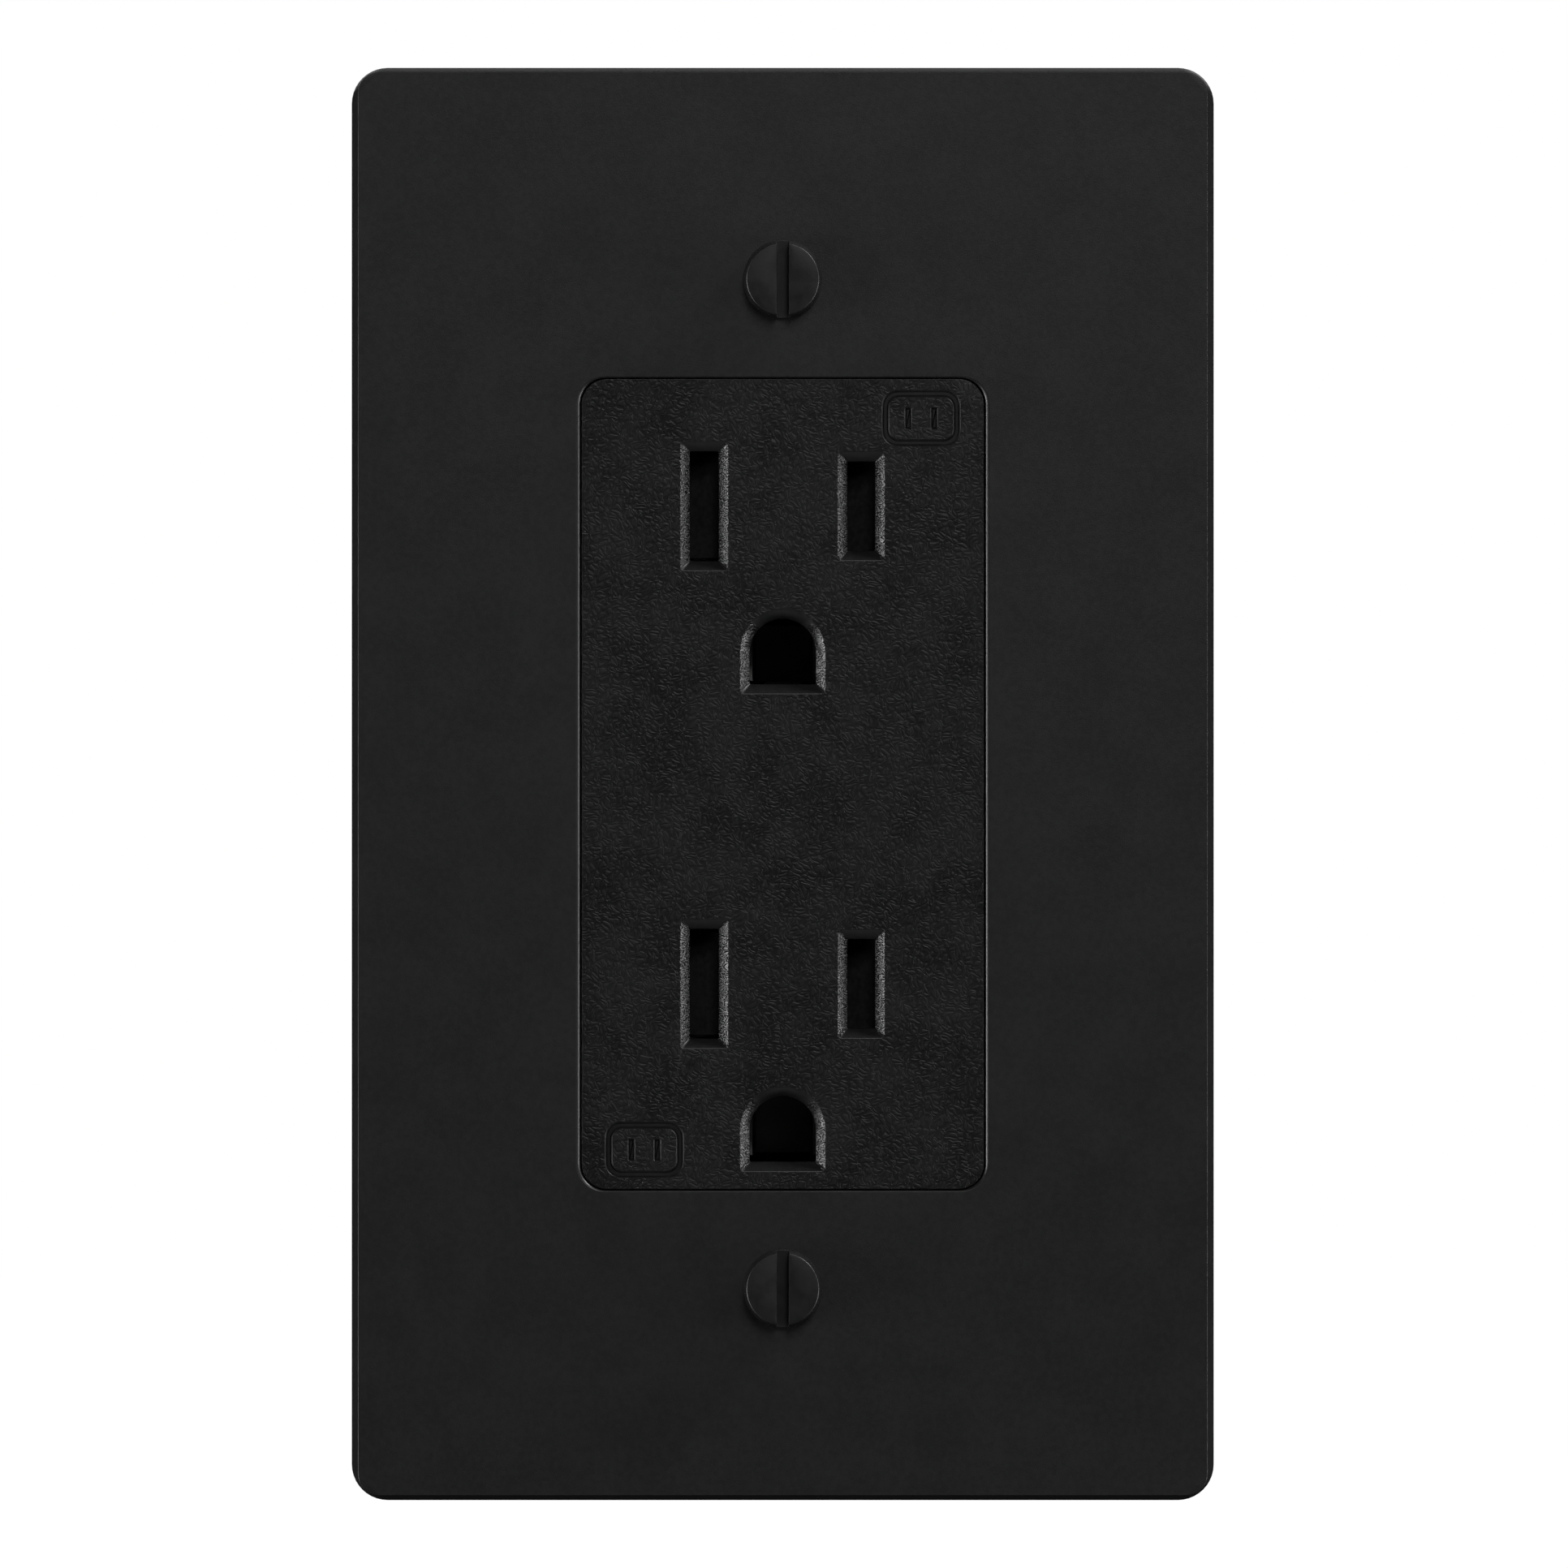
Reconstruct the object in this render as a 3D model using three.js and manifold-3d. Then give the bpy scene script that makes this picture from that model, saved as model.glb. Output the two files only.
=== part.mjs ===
// A tamper-resistant duplex receptacle of the self-contained kind, with its own wall plate.
// It needs no wall box: two long screws draw swing-out wings up behind the wall panel.
//
// Frame, in millimetres: +X to the right, +Y into the wall and +Z up, as seen from the room.
// The wall's surface is the plane y = 0, and the origin is the middle of the plate on that plane.
import * as THREE from 'three';
import { mergeVertices } from 'three/addons/utils/BufferGeometryUtils.js';
import Module from 'manifold-3d';

const wasm = await Module();
wasm.setup();

// ---------------------------------------------------------------- driving dimensions

const GAP = 0.3; // room left between neighbouring pieces
const REACH = 1; // how far a cutting tool runs past the face that it cuts
const WELD = 0.5; // how far a joined solid runs into the one that it stands on

const PLATE = {
  width: 69.85,
  height: 116.06,
  front: -5.6,
  wall: 2.4,
  rim: 2.0,
  corner: 2.5,
  edge: 0.55,
};
const PLATE_RIB = { x: 30.5, z: 53, halfLengthX: 27, halfLengthZ: 46, thickness: 1.0, back: -0.5 };
const OPENING = { width: 33.6, height: 66.3, corner: 2.3, lip: 0.3 };

const FACE = { width: 33.0, height: 65.7, corner: 2.0, front: -5.5, wall: 2.15, edge: 0.3 };
const FACE_POCKET = { width: 29.6, height: 62, corner: 1.2 };
const FACE_SKIRT_END = -1.0;
const FACE_TAB = { front: -0.4, back: 1.4, sideReach: 19.4, sideHalf: 27.9, endReach: 33.7, endHalf: 13.9 };
const FLANGE = { width: 56, height: 99, corner: 3, front: -2.9, back: 0, wall: 2.2 };

const OUTLET_HEIGHT = { upper: 22.48, lower: -16.18 };
const SLOT_X = 6.35; // half of the 12.7 mm between the two blades
const NEUTRAL_SLOT = { x: -SLOT_X, width: 2.33, height: 8.88 };
const HOT_SLOT = { x: SLOT_X, width: 2.24, height: 7.23 };
const GROUND_HOLE = { width: 5.36, archDrop: 11.78, floorDrop: 14.4 };
const SLOT_CHAMFER = 0.76;
const MARK = { x: 11.2, z: 29.6, width: 6.4, height: 4.6, line: 0.5, depth: 0.25, barX: 1.05, barHeight: 1.7 };

const BODY = { width: 43.4, height: 72, corner: 2, wall: 2.0, seam: 6.0, back: 24.0, floor: 1.8 };
const COVER = { width: 28, height: 66, corner: 2, wall: 1.6, back: 36.0, shelfHalfWidth: 10, shelfEnd: 40 };
const PARTITION = { inner: 3.4, outer: 4.2, front: 1.7, halfLength: 33.4 };
const CROSS_WALL = { low: 2.6, high: 3.6, back: 13.5 };

const SCREW_HEIGHT = 40.83; // the long screws are at this height above and below the middle
const SCREW = { radius: 1.75, headRadius: 3.175, headHeight: 1.55, headEdge: 0.4, slot: 1.0, slotDepth: 1.0, tip: 26.15 };
const SCREW_BORE = 2.1;
const SCREW_SEAT = 0.1; // room under the head
const RETAINER = { inner: 2.05, outer: 4.3, front: 0.3, back: 1.1 };
const BUSH = { bore: 2.05, barrel: 2.8, collar: 4.0, collarWidth: 0.8 };
const WING = { front: 16.8, back: 20.8, hub: 4.2, bore: 3.1, length: 14, below: 1.8, tipRadius: 1.5 };
const WING_PAD = { front: 15.2, length: 8.5 };
const WING_STOP = { near: 4.5, far: 6.3, top: 45.2 };
const WING_REST = { near: -11.5, far: -13, top: 38.7 };
const TIP_LUG = { front: 22.2, left: -4.5 };

const SHUTTER = { travel: 3.2, front: -3.05, plateFront: -1.2, back: -0.3, left: -12.6, right: 10.5, halfHeight: 5.2 };
const SHUTTER_WINDOW = { halfWidth: 1.45, halfHeight: 4.5 };
const SHUTTER_RAMP = { before: 1.75, crest: 1.45, after: 2.15, halfHeight: 4.2 };
const SHUTTER_PUSHER = { left: -7.2, right: -6.2, low: -8.6 };
const PLATFORM = { halfWidth: 14.2, low: -8.9, high: 7.0, thickness: 1.4, railInner: 5.5, railFront: -3.0 };
const SPRING_POST = { left: 4.2, right: 5.4, pinRadius: 0.55, pinEnd: -2.4 };
const SPRING = { y: -1.55, z: -7.15, coilRadius: 1.075, wireRadius: 0.175, turns: 7, left: -5.9, right: 3.9 };

const BLADE_CONTACT = { mouth: 4.2, web: 14.2, back: 14.8, outer: 1.85, leaf: 0.6, pinch: 0.6 };
const PIN_CONTACT = { mouth: 5.2, web: 16.8, back: 17.4, outer: 3.05, leaf: 0.55, pinch: 2.2 };
const BUS = { thickness: 0.8, bladeFront: 15.1, groundFront: 17.9, bladeInner: 4.5, bladeOuter: 9.5, groundHalf: 1.5 };
const FORK = { crotch: 26, tip: 31.2, slotHalf: 0.6, bladeHalf: 1.85, groundHalf: 1.5 };
const FORK_HEIGHT = { blade: [25.9, -19.6], ground: [6, -10] };

const CABLE_ENTRY = { halfWidth: 6.2, front: 28.2 };
const STUFFER = { front: 29, halfWidth: 1.5, inner: 1.3, outer: 2.5 };
const CABLE_CLAMP = { halfWidth: 9.6, legInner: 6.4, front: 26.9, bridge: 1.2, back: 34.1, near: 34.6, far: 39.0 };

const HOUSING_SCREW = { x: 17.2, z: 31.2, radius: 1.2, head: 2.4, headHeight: 1.6, end: 2.0, boss: 2.6, bossFloor: 0.6 };
const COVER_SCREW = { x: 11, z: 3.1, radius: 1.0, head: 2.2, headHeight: 1.3, end: 19, boss: 2.0, bossFront: 17 };
const CLAMP_SCREW = { x: 7.9, z: 36.8, radius: 1.0, head: 2.2, headHeight: 1.3, end: 30.5 };

const ROUND = 24; // facets round a hole or a shaft
const SMALL_ROUND = 16; // facets round a small fastener
const CORNER_STEPS = 3; // steps round a rounded corner

const BLACK_PLASTIC = { color: 0x1d1d1e, roughness: 0.5, metalness: 0 };
const BLACK_GRAINED_PLASTIC = { color: 0x19191a, roughness: 0.55, metalness: 0 };
const BLACK_INNER_PLASTIC = { color: 0x232324, roughness: 0.6, metalness: 0 };
const GREY_PLASTIC = { color: 0x3b3c3e, roughness: 0.55, metalness: 0 };
const WHITE_PLASTIC = { color: 0xd8d4ca, roughness: 0.45, metalness: 0 };
const FIBRE = { color: 0x7c3b26, roughness: 0.85, metalness: 0 };
const BLACK_STEEL = { color: 0x202022, roughness: 0.4, metalness: 0.6 };
const ZINC_STEEL = { color: 0xa9acb0, roughness: 0.35, metalness: 1 };
const SPRING_STEEL = { color: 0xb9bcc0, roughness: 0.25, metalness: 1 };
const BRASS = { color: 0xb5914c, roughness: 0.3, metalness: 1 };

// ---------------------------------------------------------------- solids

// A closed three.js geometry as a solid that can be joined and cut.
function solid(geometry) {
  const bare = geometry.clone();
  bare.deleteAttribute('normal');
  bare.deleteAttribute('uv');
  const merged = mergeVertices(bare);
  const corners = [];
  for (let i = 0; i < merged.index.count; i += 3) {
    const [a, b, c] = [0, 1, 2].map((k) => merged.index.getX(i + k));
    if (a !== b && b !== c && c !== a) {
      corners.push(a, b, c);
    }
  }
  const mesh = new wasm.Mesh({
    numProp: 3,
    vertProperties: Float32Array.from(merged.attributes.position.array),
    triVerts: Uint32Array.from(corners),
  });
  return new wasm.Manifold(mesh);
}

function toGeometry(body) {
  const mesh = body.getMesh();
  const geometry = new THREE.BufferGeometry();
  geometry.setAttribute('position', new THREE.BufferAttribute(mesh.vertProperties, mesh.numProp));
  geometry.setIndex(new THREE.BufferAttribute(mesh.triVerts, 1));
  geometry.computeVertexNormals();
  return geometry;
}

function join(...bodies) {
  return bodies.reduce((whole, next) => whole.add(next));
}

function cut(body, ...tools) {
  return tools.reduce((whole, next) => whole.subtract(next), body);
}

function block([x0, x1], [y0, y1], [z0, z1]) {
  const box = new THREE.BoxGeometry(Math.abs(x1 - x0), Math.abs(y1 - y0), Math.abs(z1 - z0));
  return solid(box.translate((x0 + x1) / 2, (y0 + y1) / 2, (z0 + z1) / 2));
}

// An outline drawn in X and Z, extruded along Y.
function slab(outline, [y0, y1], steps = CORNER_STEPS) {
  const geometry = new THREE.ExtrudeGeometry(outline, { depth: y1 - y0, bevelEnabled: false, curveSegments: steps });
  return solid(geometry.rotateX(Math.PI / 2).translate(0, y1, 0));
}

// The same with its front edge rounded, for a piece that shows its face to the room.
function pillow(outline, [front, back], edge) {
  const depth = back - front + REACH;
  const geometry = new THREE.ExtrudeGeometry(outline, {
    depth,
    bevelThickness: edge,
    bevelSize: edge,
    bevelOffset: -edge,
    bevelSegments: 3,
    curveSegments: CORNER_STEPS,
  });
  const whole = solid(geometry.rotateX(Math.PI / 2).translate(0, front + depth + edge, 0));
  return cut(whole, block([-PLATE.width, PLATE.width], [back, back + 2 * REACH + 2 * edge], [-PLATE.height, PLATE.height]));
}

// A tool that cuts an outline through a wall and flares its front edge at 45 degrees.
function flaredCutter(outline, front, back, chamfer) {
  const flare = new THREE.ExtrudeGeometry(outline, {
    depth: REACH,
    bevelThickness: chamfer,
    bevelSize: chamfer,
    bevelSegments: 1,
    curveSegments: CORNER_STEPS,
  });
  const mouth = solid(flare.rotateX(Math.PI / 2).translate(0, front, 0));
  return join(mouth, slab(outline, [front - REACH / 2, back]));
}

// An outline drawn in X and Y, such as a bent strip seen end on, extruded along Z.
function strip(points, [z0, z1]) {
  const outline = new THREE.Shape(points.map(([x, y]) => new THREE.Vector2(x, y)));
  return solid(new THREE.ExtrudeGeometry(outline, { depth: z1 - z0, bevelEnabled: false }).translate(0, 0, z0));
}

function rod(radius, [y0, y1], x = 0, z = 0, facets = ROUND) {
  const length = y1 - y0;
  return solid(new THREE.CylinderGeometry(radius, radius, length, facets).translate(x, (y0 + y1) / 2, z));
}

// A profile of [radius, y] points turned about the Y axis.
function turned(profile, facets = ROUND) {
  const points = profile.map(([r, y]) => new THREE.Vector2(r, y));
  return solid(new THREE.LatheGeometry(points, facets));
}

function roundedRect(width, height, radius, x = 0, z = 0) {
  const [left, right, low, high] = [x - width / 2, x + width / 2, z - height / 2, z + height / 2];
  const shape = new THREE.Shape();
  shape.moveTo(left + radius, low);
  shape.lineTo(right - radius, low);
  shape.absarc(right - radius, low + radius, radius, -Math.PI / 2, 0);
  shape.lineTo(right, high - radius);
  shape.absarc(right - radius, high - radius, radius, 0, Math.PI / 2);
  shape.lineTo(left + radius, high);
  shape.absarc(left + radius, high - radius, radius, Math.PI / 2, Math.PI);
  shape.lineTo(left, low + radius);
  shape.absarc(left + radius, low + radius, radius, Math.PI, 1.5 * Math.PI);
  return shape;
}

function rect(width, height, x, z) {
  const [left, right, low, high] = [x - width / 2, x + width / 2, z - height / 2, z + height / 2];
  return new THREE.Shape([[left, low], [right, low], [right, high], [left, high]].map(([u, v]) => new THREE.Vector2(u, v)));
}

// The ground pin's hole: flat below and round above.
function groundOutline(z) {
  const half = GROUND_HOLE.width / 2;
  const shape = new THREE.Shape();
  shape.moveTo(-half, z - GROUND_HOLE.floorDrop);
  shape.lineTo(half, z - GROUND_HOLE.floorDrop);
  shape.lineTo(half, z - GROUND_HOLE.archDrop);
  shape.absarc(0, z - GROUND_HOLE.archDrop, half, 0, Math.PI);
  return shape;
}

// A half turn about the Y axis, which carries what is at the upper screw to the lower one.
function halfTurn(body) {
  return body.rotate([0, 180, 0]);
}

// ---------------------------------------------------------------- wall plate

function wallPlate() {
  const shell = pillow(roundedRect(PLATE.width, PLATE.height, PLATE.corner), [PLATE.front, 0], PLATE.edge);
  const inner = PLATE.front + PLATE.wall;
  const hollow = slab(
    roundedRect(PLATE.width - 2 * PLATE.rim, PLATE.height - 2 * PLATE.rim, PLATE.corner - PLATE.edge),
    [inner, REACH],
  );
  const opening = flaredCutter(
    roundedRect(OPENING.width, OPENING.height, OPENING.corner),
    PLATE.front,
    REACH,
    OPENING.lip,
  );
  const ribs = [-1, 1].flatMap((side) => {
    const [x, z, half] = [side * PLATE_RIB.x, side * PLATE_RIB.z, PLATE_RIB.thickness / 2];
    const depth = [inner - WELD, PLATE_RIB.back];
    return [
      block([x - half, x + half], depth, [-PLATE_RIB.halfLengthZ, PLATE_RIB.halfLengthZ]),
      block([-PLATE_RIB.halfLengthX, PLATE_RIB.halfLengthX], depth, [z - half, z + half]),
    ];
  });
  const holes = [-1, 1].map((side) => rod(SCREW_BORE, [PLATE.front - REACH, REACH], 0, side * SCREW_HEIGHT));
  return cut(join(cut(shell, hollow), ...ribs), opening, ...holes);
}

// ---------------------------------------------------------------- housings

const BLADE_SLOTS = [NEUTRAL_SLOT, HOT_SLOT];
const CORNERS = [[-1, 1], [1, 1], [-1, -1], [1, -1]];

// What stands on the body's upper end: the stop that ends the wing's swing, and the rest under its tip.
function wingGuides(front, back) {
  const foot = BODY.height / 2 - WELD;
  const stop = block([WING_STOP.near, WING_STOP.far], [front, back], [foot, WING_STOP.top]);
  const rest = block([WING_REST.far, WING_REST.near], [front, back], [foot, WING_REST.top]);
  return join(stop, rest);
}

// A small engraved sign for a shuttered outlet: a rounded frame round two short bars.
function shutterSign(side) {
  const [x, z] = [side * MARK.x, side * MARK.z];
  const depth = [FACE.front - REACH, FACE.front + MARK.depth];
  const frame = cut(
    slab(roundedRect(MARK.width, MARK.height, 1.3, x, z), depth),
    slab(roundedRect(MARK.width - 2 * MARK.line, MARK.height - 2 * MARK.line, 0.8, x, z), depth),
  );
  const bars = [-1, 1].map((end) => slab(rect(MARK.line, MARK.barHeight, x + end * MARK.barX, z), depth));
  return join(frame, ...bars);
}

// The moulding that a plug meets. It comes through the flange's window from behind, and the tabs
// round its skirt hold it there.
function receptacleFace() {
  const outline = roundedRect(FACE.width, FACE.height, FACE.corner);
  const shell = pillow(outline, [FACE.front, FACE_SKIRT_END], FACE.edge);
  const wallBack = FACE.front + FACE.wall;
  const pocket = slab(
    roundedRect(FACE_POCKET.width, FACE_POCKET.height, FACE_POCKET.corner),
    [wallBack, FACE_SKIRT_END + REACH],
  );
  const { front, back, sideReach, sideHalf, endReach, endHalf } = FACE_TAB;
  const stem = [FACE_SKIRT_END - WELD, back];
  const tabs = [-1, 1].flatMap((side) => {
    const [sideInner, endInner] = [(side * FACE_POCKET.width) / 2, (side * FACE_POCKET.height) / 2];
    return [
      block([sideInner, (side * FACE.width) / 2], stem, [-sideHalf, sideHalf]),
      block([sideInner, side * sideReach], [front, back], [-sideHalf, sideHalf]),
      block([-endHalf, endHalf], stem, [endInner, (side * FACE.height) / 2]),
      block([-endHalf, endHalf], [front, back], [endInner, side * endReach]),
    ];
  });
  const slots = Object.values(OUTLET_HEIGHT).flatMap((z) => [
    ...BLADE_SLOTS.map((slot) =>
      flaredCutter(rect(slot.width, slot.height, slot.x, z), FACE.front, wallBack + REACH, SLOT_CHAMFER),
    ),
    flaredCutter(groundOutline(z), FACE.front, wallBack + REACH, SLOT_CHAMFER),
  ]);
  return cut(join(cut(shell, pocket), ...tabs), ...slots, shutterSign(1), shutterSign(-1));
}

// The mounting flange and the front half of the body, which the rear housing closes.
function frontHousing() {
  const flange = slab(roundedRect(FLANGE.width, FLANGE.height, FLANGE.corner), [FLANGE.front, FLANGE.back]);
  const walls = slab(roundedRect(BODY.width, BODY.height, BODY.corner), [FLANGE.back - WELD, BODY.seam]);
  const flangeInside = FLANGE.front + FLANGE.wall;
  const cavity = slab(
    roundedRect(BODY.width - 2 * BODY.wall, BODY.height - 2 * BODY.wall, 1),
    [flangeInside, BODY.seam + REACH],
  );
  const window = slab(
    roundedRect(FACE.width + 2 * GAP, FACE.height + 2 * GAP, FACE.corner),
    [FLANGE.front - REACH, flangeInside + GAP],
  );
  const bosses = CORNERS.map(([i, k]) =>
    rod(HOUSING_SCREW.boss, [flangeInside - WELD, BODY.seam], i * HOUSING_SCREW.x, k * HOUSING_SCREW.z),
  );
  const pilots = CORNERS.map(([i, k]) =>
    rod(
      HOUSING_SCREW.radius + GAP,
      [HOUSING_SCREW.bossFloor, BODY.seam + REACH],
      i * HOUSING_SCREW.x,
      k * HOUSING_SCREW.z,
      SMALL_ROUND,
    ),
  );
  const bores = [-1, 1].map((side) =>
    rod(SCREW_BORE, [FLANGE.front - REACH, FLANGE.back + REACH], 0, side * SCREW_HEIGHT),
  );
  const guides = wingGuides(FLANGE.back - WELD, BODY.seam);
  const whole = join(cut(join(flange, walls), cavity), ...bosses, guides, halfTurn(guides));
  return cut(whole, window, ...pilots, ...bores);
}

function rearHousing() {
  const front = BODY.seam + GAP;
  const floor = BODY.back - BODY.floor;
  const shell = cut(
    slab(roundedRect(BODY.width, BODY.height, BODY.corner), [front, BODY.back]),
    slab(roundedRect(BODY.width - 2 * BODY.wall, BODY.height - 2 * BODY.wall, 1), [front - REACH, floor]),
  );
  const innerHeight = BODY.height / 2 - BODY.wall;
  const innerWidth = BODY.width / 2 - BODY.wall;
  const walls = [-1, 1].flatMap((side) => [
    block(
      [side * PARTITION.inner, side * PARTITION.outer],
      [PARTITION.front, floor + WELD],
      [-PARTITION.halfLength, PARTITION.halfLength],
    ),
    block(
      [side * PARTITION.inner, side * PARTITION.outer],
      [front, floor + WELD],
      [-innerHeight - WELD, innerHeight + WELD],
    ),
    block(
      [side * (PARTITION.inner + WELD), side * (innerWidth + WELD)],
      [front, CROSS_WALL.back],
      [CROSS_WALL.low, CROSS_WALL.high],
    ),
  ]);
  const bosses = [
    ...CORNERS.map(([i, k]) =>
      rod(HOUSING_SCREW.boss, [front, floor + WELD], i * HOUSING_SCREW.x, k * HOUSING_SCREW.z),
    ),
    ...[-1, 1].map((i) =>
      rod(COVER_SCREW.boss, [COVER_SCREW.bossFront, floor + WELD], i * COVER_SCREW.x, COVER_SCREW.z, SMALL_ROUND),
    ),
  ];
  const holes = [
    ...CORNERS.map(([i, k]) =>
      rod(
        HOUSING_SCREW.radius + GAP,
        [front - REACH, BODY.back + REACH],
        i * HOUSING_SCREW.x,
        k * HOUSING_SCREW.z,
        SMALL_ROUND,
      ),
    ),
    ...[-1, 1].map((i) =>
      rod(
        COVER_SCREW.radius + GAP,
        [COVER_SCREW.bossFront - REACH, BODY.back + REACH],
        i * COVER_SCREW.x,
        COVER_SCREW.z,
        SMALL_ROUND,
      ),
    ),
  ];
  const forkSlots = forkPlaces().map(({ x, z, half }) =>
    block(
      [x - half - GAP, x + half + GAP],
      [floor - WELD, BODY.back + REACH],
      [z - BUS.thickness, z + BUS.thickness],
    ),
  );
  const guides = join(
    wingGuides(front, TIP_LUG.front),
    block(
      [TIP_LUG.left, WING_STOP.far],
      [TIP_LUG.front, BODY.back],
      [BODY.height / 2 - WELD, WING_STOP.top],
    ),
    block([WING_STOP.near, WING_STOP.far], [front, BODY.back], [BODY.height / 2 - WELD, WING_STOP.top]),
  );
  const lugBore = rod(SCREW_BORE, [TIP_LUG.front - REACH, BODY.back + REACH], 0, SCREW_HEIGHT);
  const upperEnd = cut(guides, lugBore);
  return cut(join(shell, ...walls, ...bosses, upperEnd, halfTurn(upperEnd)), ...holes, ...forkSlots);
}

function rearCover() {
  const front = BODY.back + GAP;
  const inner = COVER.back - COVER.wall;
  const shell = cut(
    slab(roundedRect(COVER.width, COVER.height, COVER.corner), [front, COVER.back]),
    slab(roundedRect(COVER.width - 2 * COVER.wall, COVER.height - 2 * COVER.wall, 1), [front - REACH, inner]),
  );
  const shelf = slab(roundedRect(2 * COVER.shelfHalfWidth, 2 * COVER.shelfEnd, 2), [inner, COVER.back]);
  const entries = [-1, 1].map((side) =>
    block(
      [-CABLE_ENTRY.halfWidth, CABLE_ENTRY.halfWidth],
      [CABLE_ENTRY.front, inner],
      [side * (COVER.height / 2 - COVER.wall - REACH), side * (COVER.height / 2 + REACH)],
    ),
  );
  const bosses = [-1, 1].map((i) =>
    rod(COVER_SCREW.boss, [front, inner + WELD], i * COVER_SCREW.x, COVER_SCREW.z, SMALL_ROUND),
  );
  const stuffers = forkPlaces().flatMap(({ x, z }) =>
    [-1, 1].map((side) =>
      block(
        [x - STUFFER.halfWidth, x + STUFFER.halfWidth],
        [STUFFER.front, inner + WELD],
        [z + side * STUFFER.inner, z + side * STUFFER.outer],
      ),
    ),
  );
  const holes = [
    ...[-1, 1].map((i) =>
      rod(COVER_SCREW.radius + GAP, [front - REACH, COVER.back + REACH], i * COVER_SCREW.x, COVER_SCREW.z, SMALL_ROUND),
    ),
    ...CORNERS.map(([i, k]) =>
      rod(CLAMP_SCREW.radius + GAP, [inner - REACH, COVER.back + REACH], i * CLAMP_SCREW.x, k * CLAMP_SCREW.z, SMALL_ROUND),
    ),
  ];
  return cut(join(cut(shell, ...entries), shelf, ...bosses, ...stuffers), ...holes);
}

// The bridge that holds a cable down on the cover's upper shelf.
function cableClamp() {
  const { halfWidth, legInner, front, bridge, back, near, far } = CABLE_CLAMP;
  const bar = block([-halfWidth, halfWidth], [front, front + bridge], [near, far]);
  const legs = [-1, 1].map((side) => block([side * legInner, side * halfWidth], [front, back], [near, far]));
  const pilots = [-1, 1].map((side) =>
    rod(
      CLAMP_SCREW.radius + GAP,
      [CLAMP_SCREW.end - CLAMP_SCREW.radius - GAP, back + REACH],
      side * CLAMP_SCREW.x,
      CLAMP_SCREW.z,
      SMALL_ROUND,
    ),
  );
  return cut(join(bar, ...legs), ...pilots);
}

// A pan-head screw driven forwards from behind, with its head's underside at y = seat.
function assemblyScrew({ radius, head, headHeight, end }, seat) {
  const top = seat + headHeight;
  const body = turned(
    [
      [0, end - radius],
      [radius, end],
      [radius, seat],
      [head, seat],
      [head, top - 0.5 * headHeight],
      [0.75 * head, top],
      [0, top],
    ],
    SMALL_ROUND,
  );
  const slotHalf = 0.15 * head;
  return cut(body, block([-slotHalf, slotHalf], [top - 0.45 * headHeight, top + REACH], [-2 * head, 2 * head]));
}

// ---------------------------------------------------------------- long screw, bush and wing

function mountingScrew() {
  const under = PLATE.front - SCREW_SEAT;
  const top = under - SCREW.headHeight;
  const edge = SCREW.headEdge;
  const quarter = [0, 1, 2, 3].map((step) => {
    const angle = (step * Math.PI) / 6;
    return [SCREW.headRadius - edge + edge * Math.sin(angle), top + edge - edge * Math.cos(angle)];
  });
  const body = turned([
    [0, top],
    ...quarter,
    [SCREW.headRadius, under],
    [SCREW.radius, under],
    [SCREW.radius, SCREW.tip - 0.75],
    [SCREW.radius - 0.75, SCREW.tip],
    [0, SCREW.tip],
  ]);
  const half = SCREW.slot / 2;
  return cut(body, block([-half, half], [top - REACH, top + SCREW.slotDepth], [-2 * SCREW.headRadius, 2 * SCREW.headRadius]));
}

function screwRetainer() {
  const { inner, outer, front, back } = RETAINER;
  return turned([[inner, front], [outer, front], [outer, back], [inner, back], [inner, front]]);
}

// The threaded bush runs along the screw, and the wing swings between its two collars.
function clampBush() {
  const { bore, barrel, collar, collarWidth } = BUSH;
  const [front, back] = [WING.front - GAP, WING.back + GAP];
  return turned([
    [bore, front - collarWidth],
    [collar, front - collarWidth],
    [collar, front],
    [barrel, front],
    [barrel, back],
    [collar, back],
    [collar, back + collarWidth],
    [bore, back + collarWidth],
    [bore, front - collarWidth],
  ]);
}

// Folded, the wing lies along -X; its upper side is flat, and meets the stop once it has swung up.
// The raised pad near its tip is what bears on the back of the wall panel.
function clampWing() {
  const hub = rod(WING.hub, [WING.front, WING.back]);
  const arm = slab(
    roundedRect(WING.length, WING.hub + WING.below, WING.tipRadius, -WING.length / 2, (WING.hub - WING.below) / 2),
    [WING.front, WING.back],
  );
  const root = block([-WING.length / 2, 0], [WING.front, WING.back], [-WING.below, WING.hub]);
  const pad = slab(
    roundedRect(
      WING_PAD.length,
      WING.hub + WING.below,
      WING.tipRadius,
      WING_PAD.length / 2 - WING.length,
      (WING.hub - WING.below) / 2,
    ),
    [WING_PAD.front, WING.front + WELD],
  );
  return cut(join(hub, arm, root, pad), rod(WING.bore, [WING.front - REACH, WING.back + REACH]));
}

// ---------------------------------------------------------------- shutters

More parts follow.
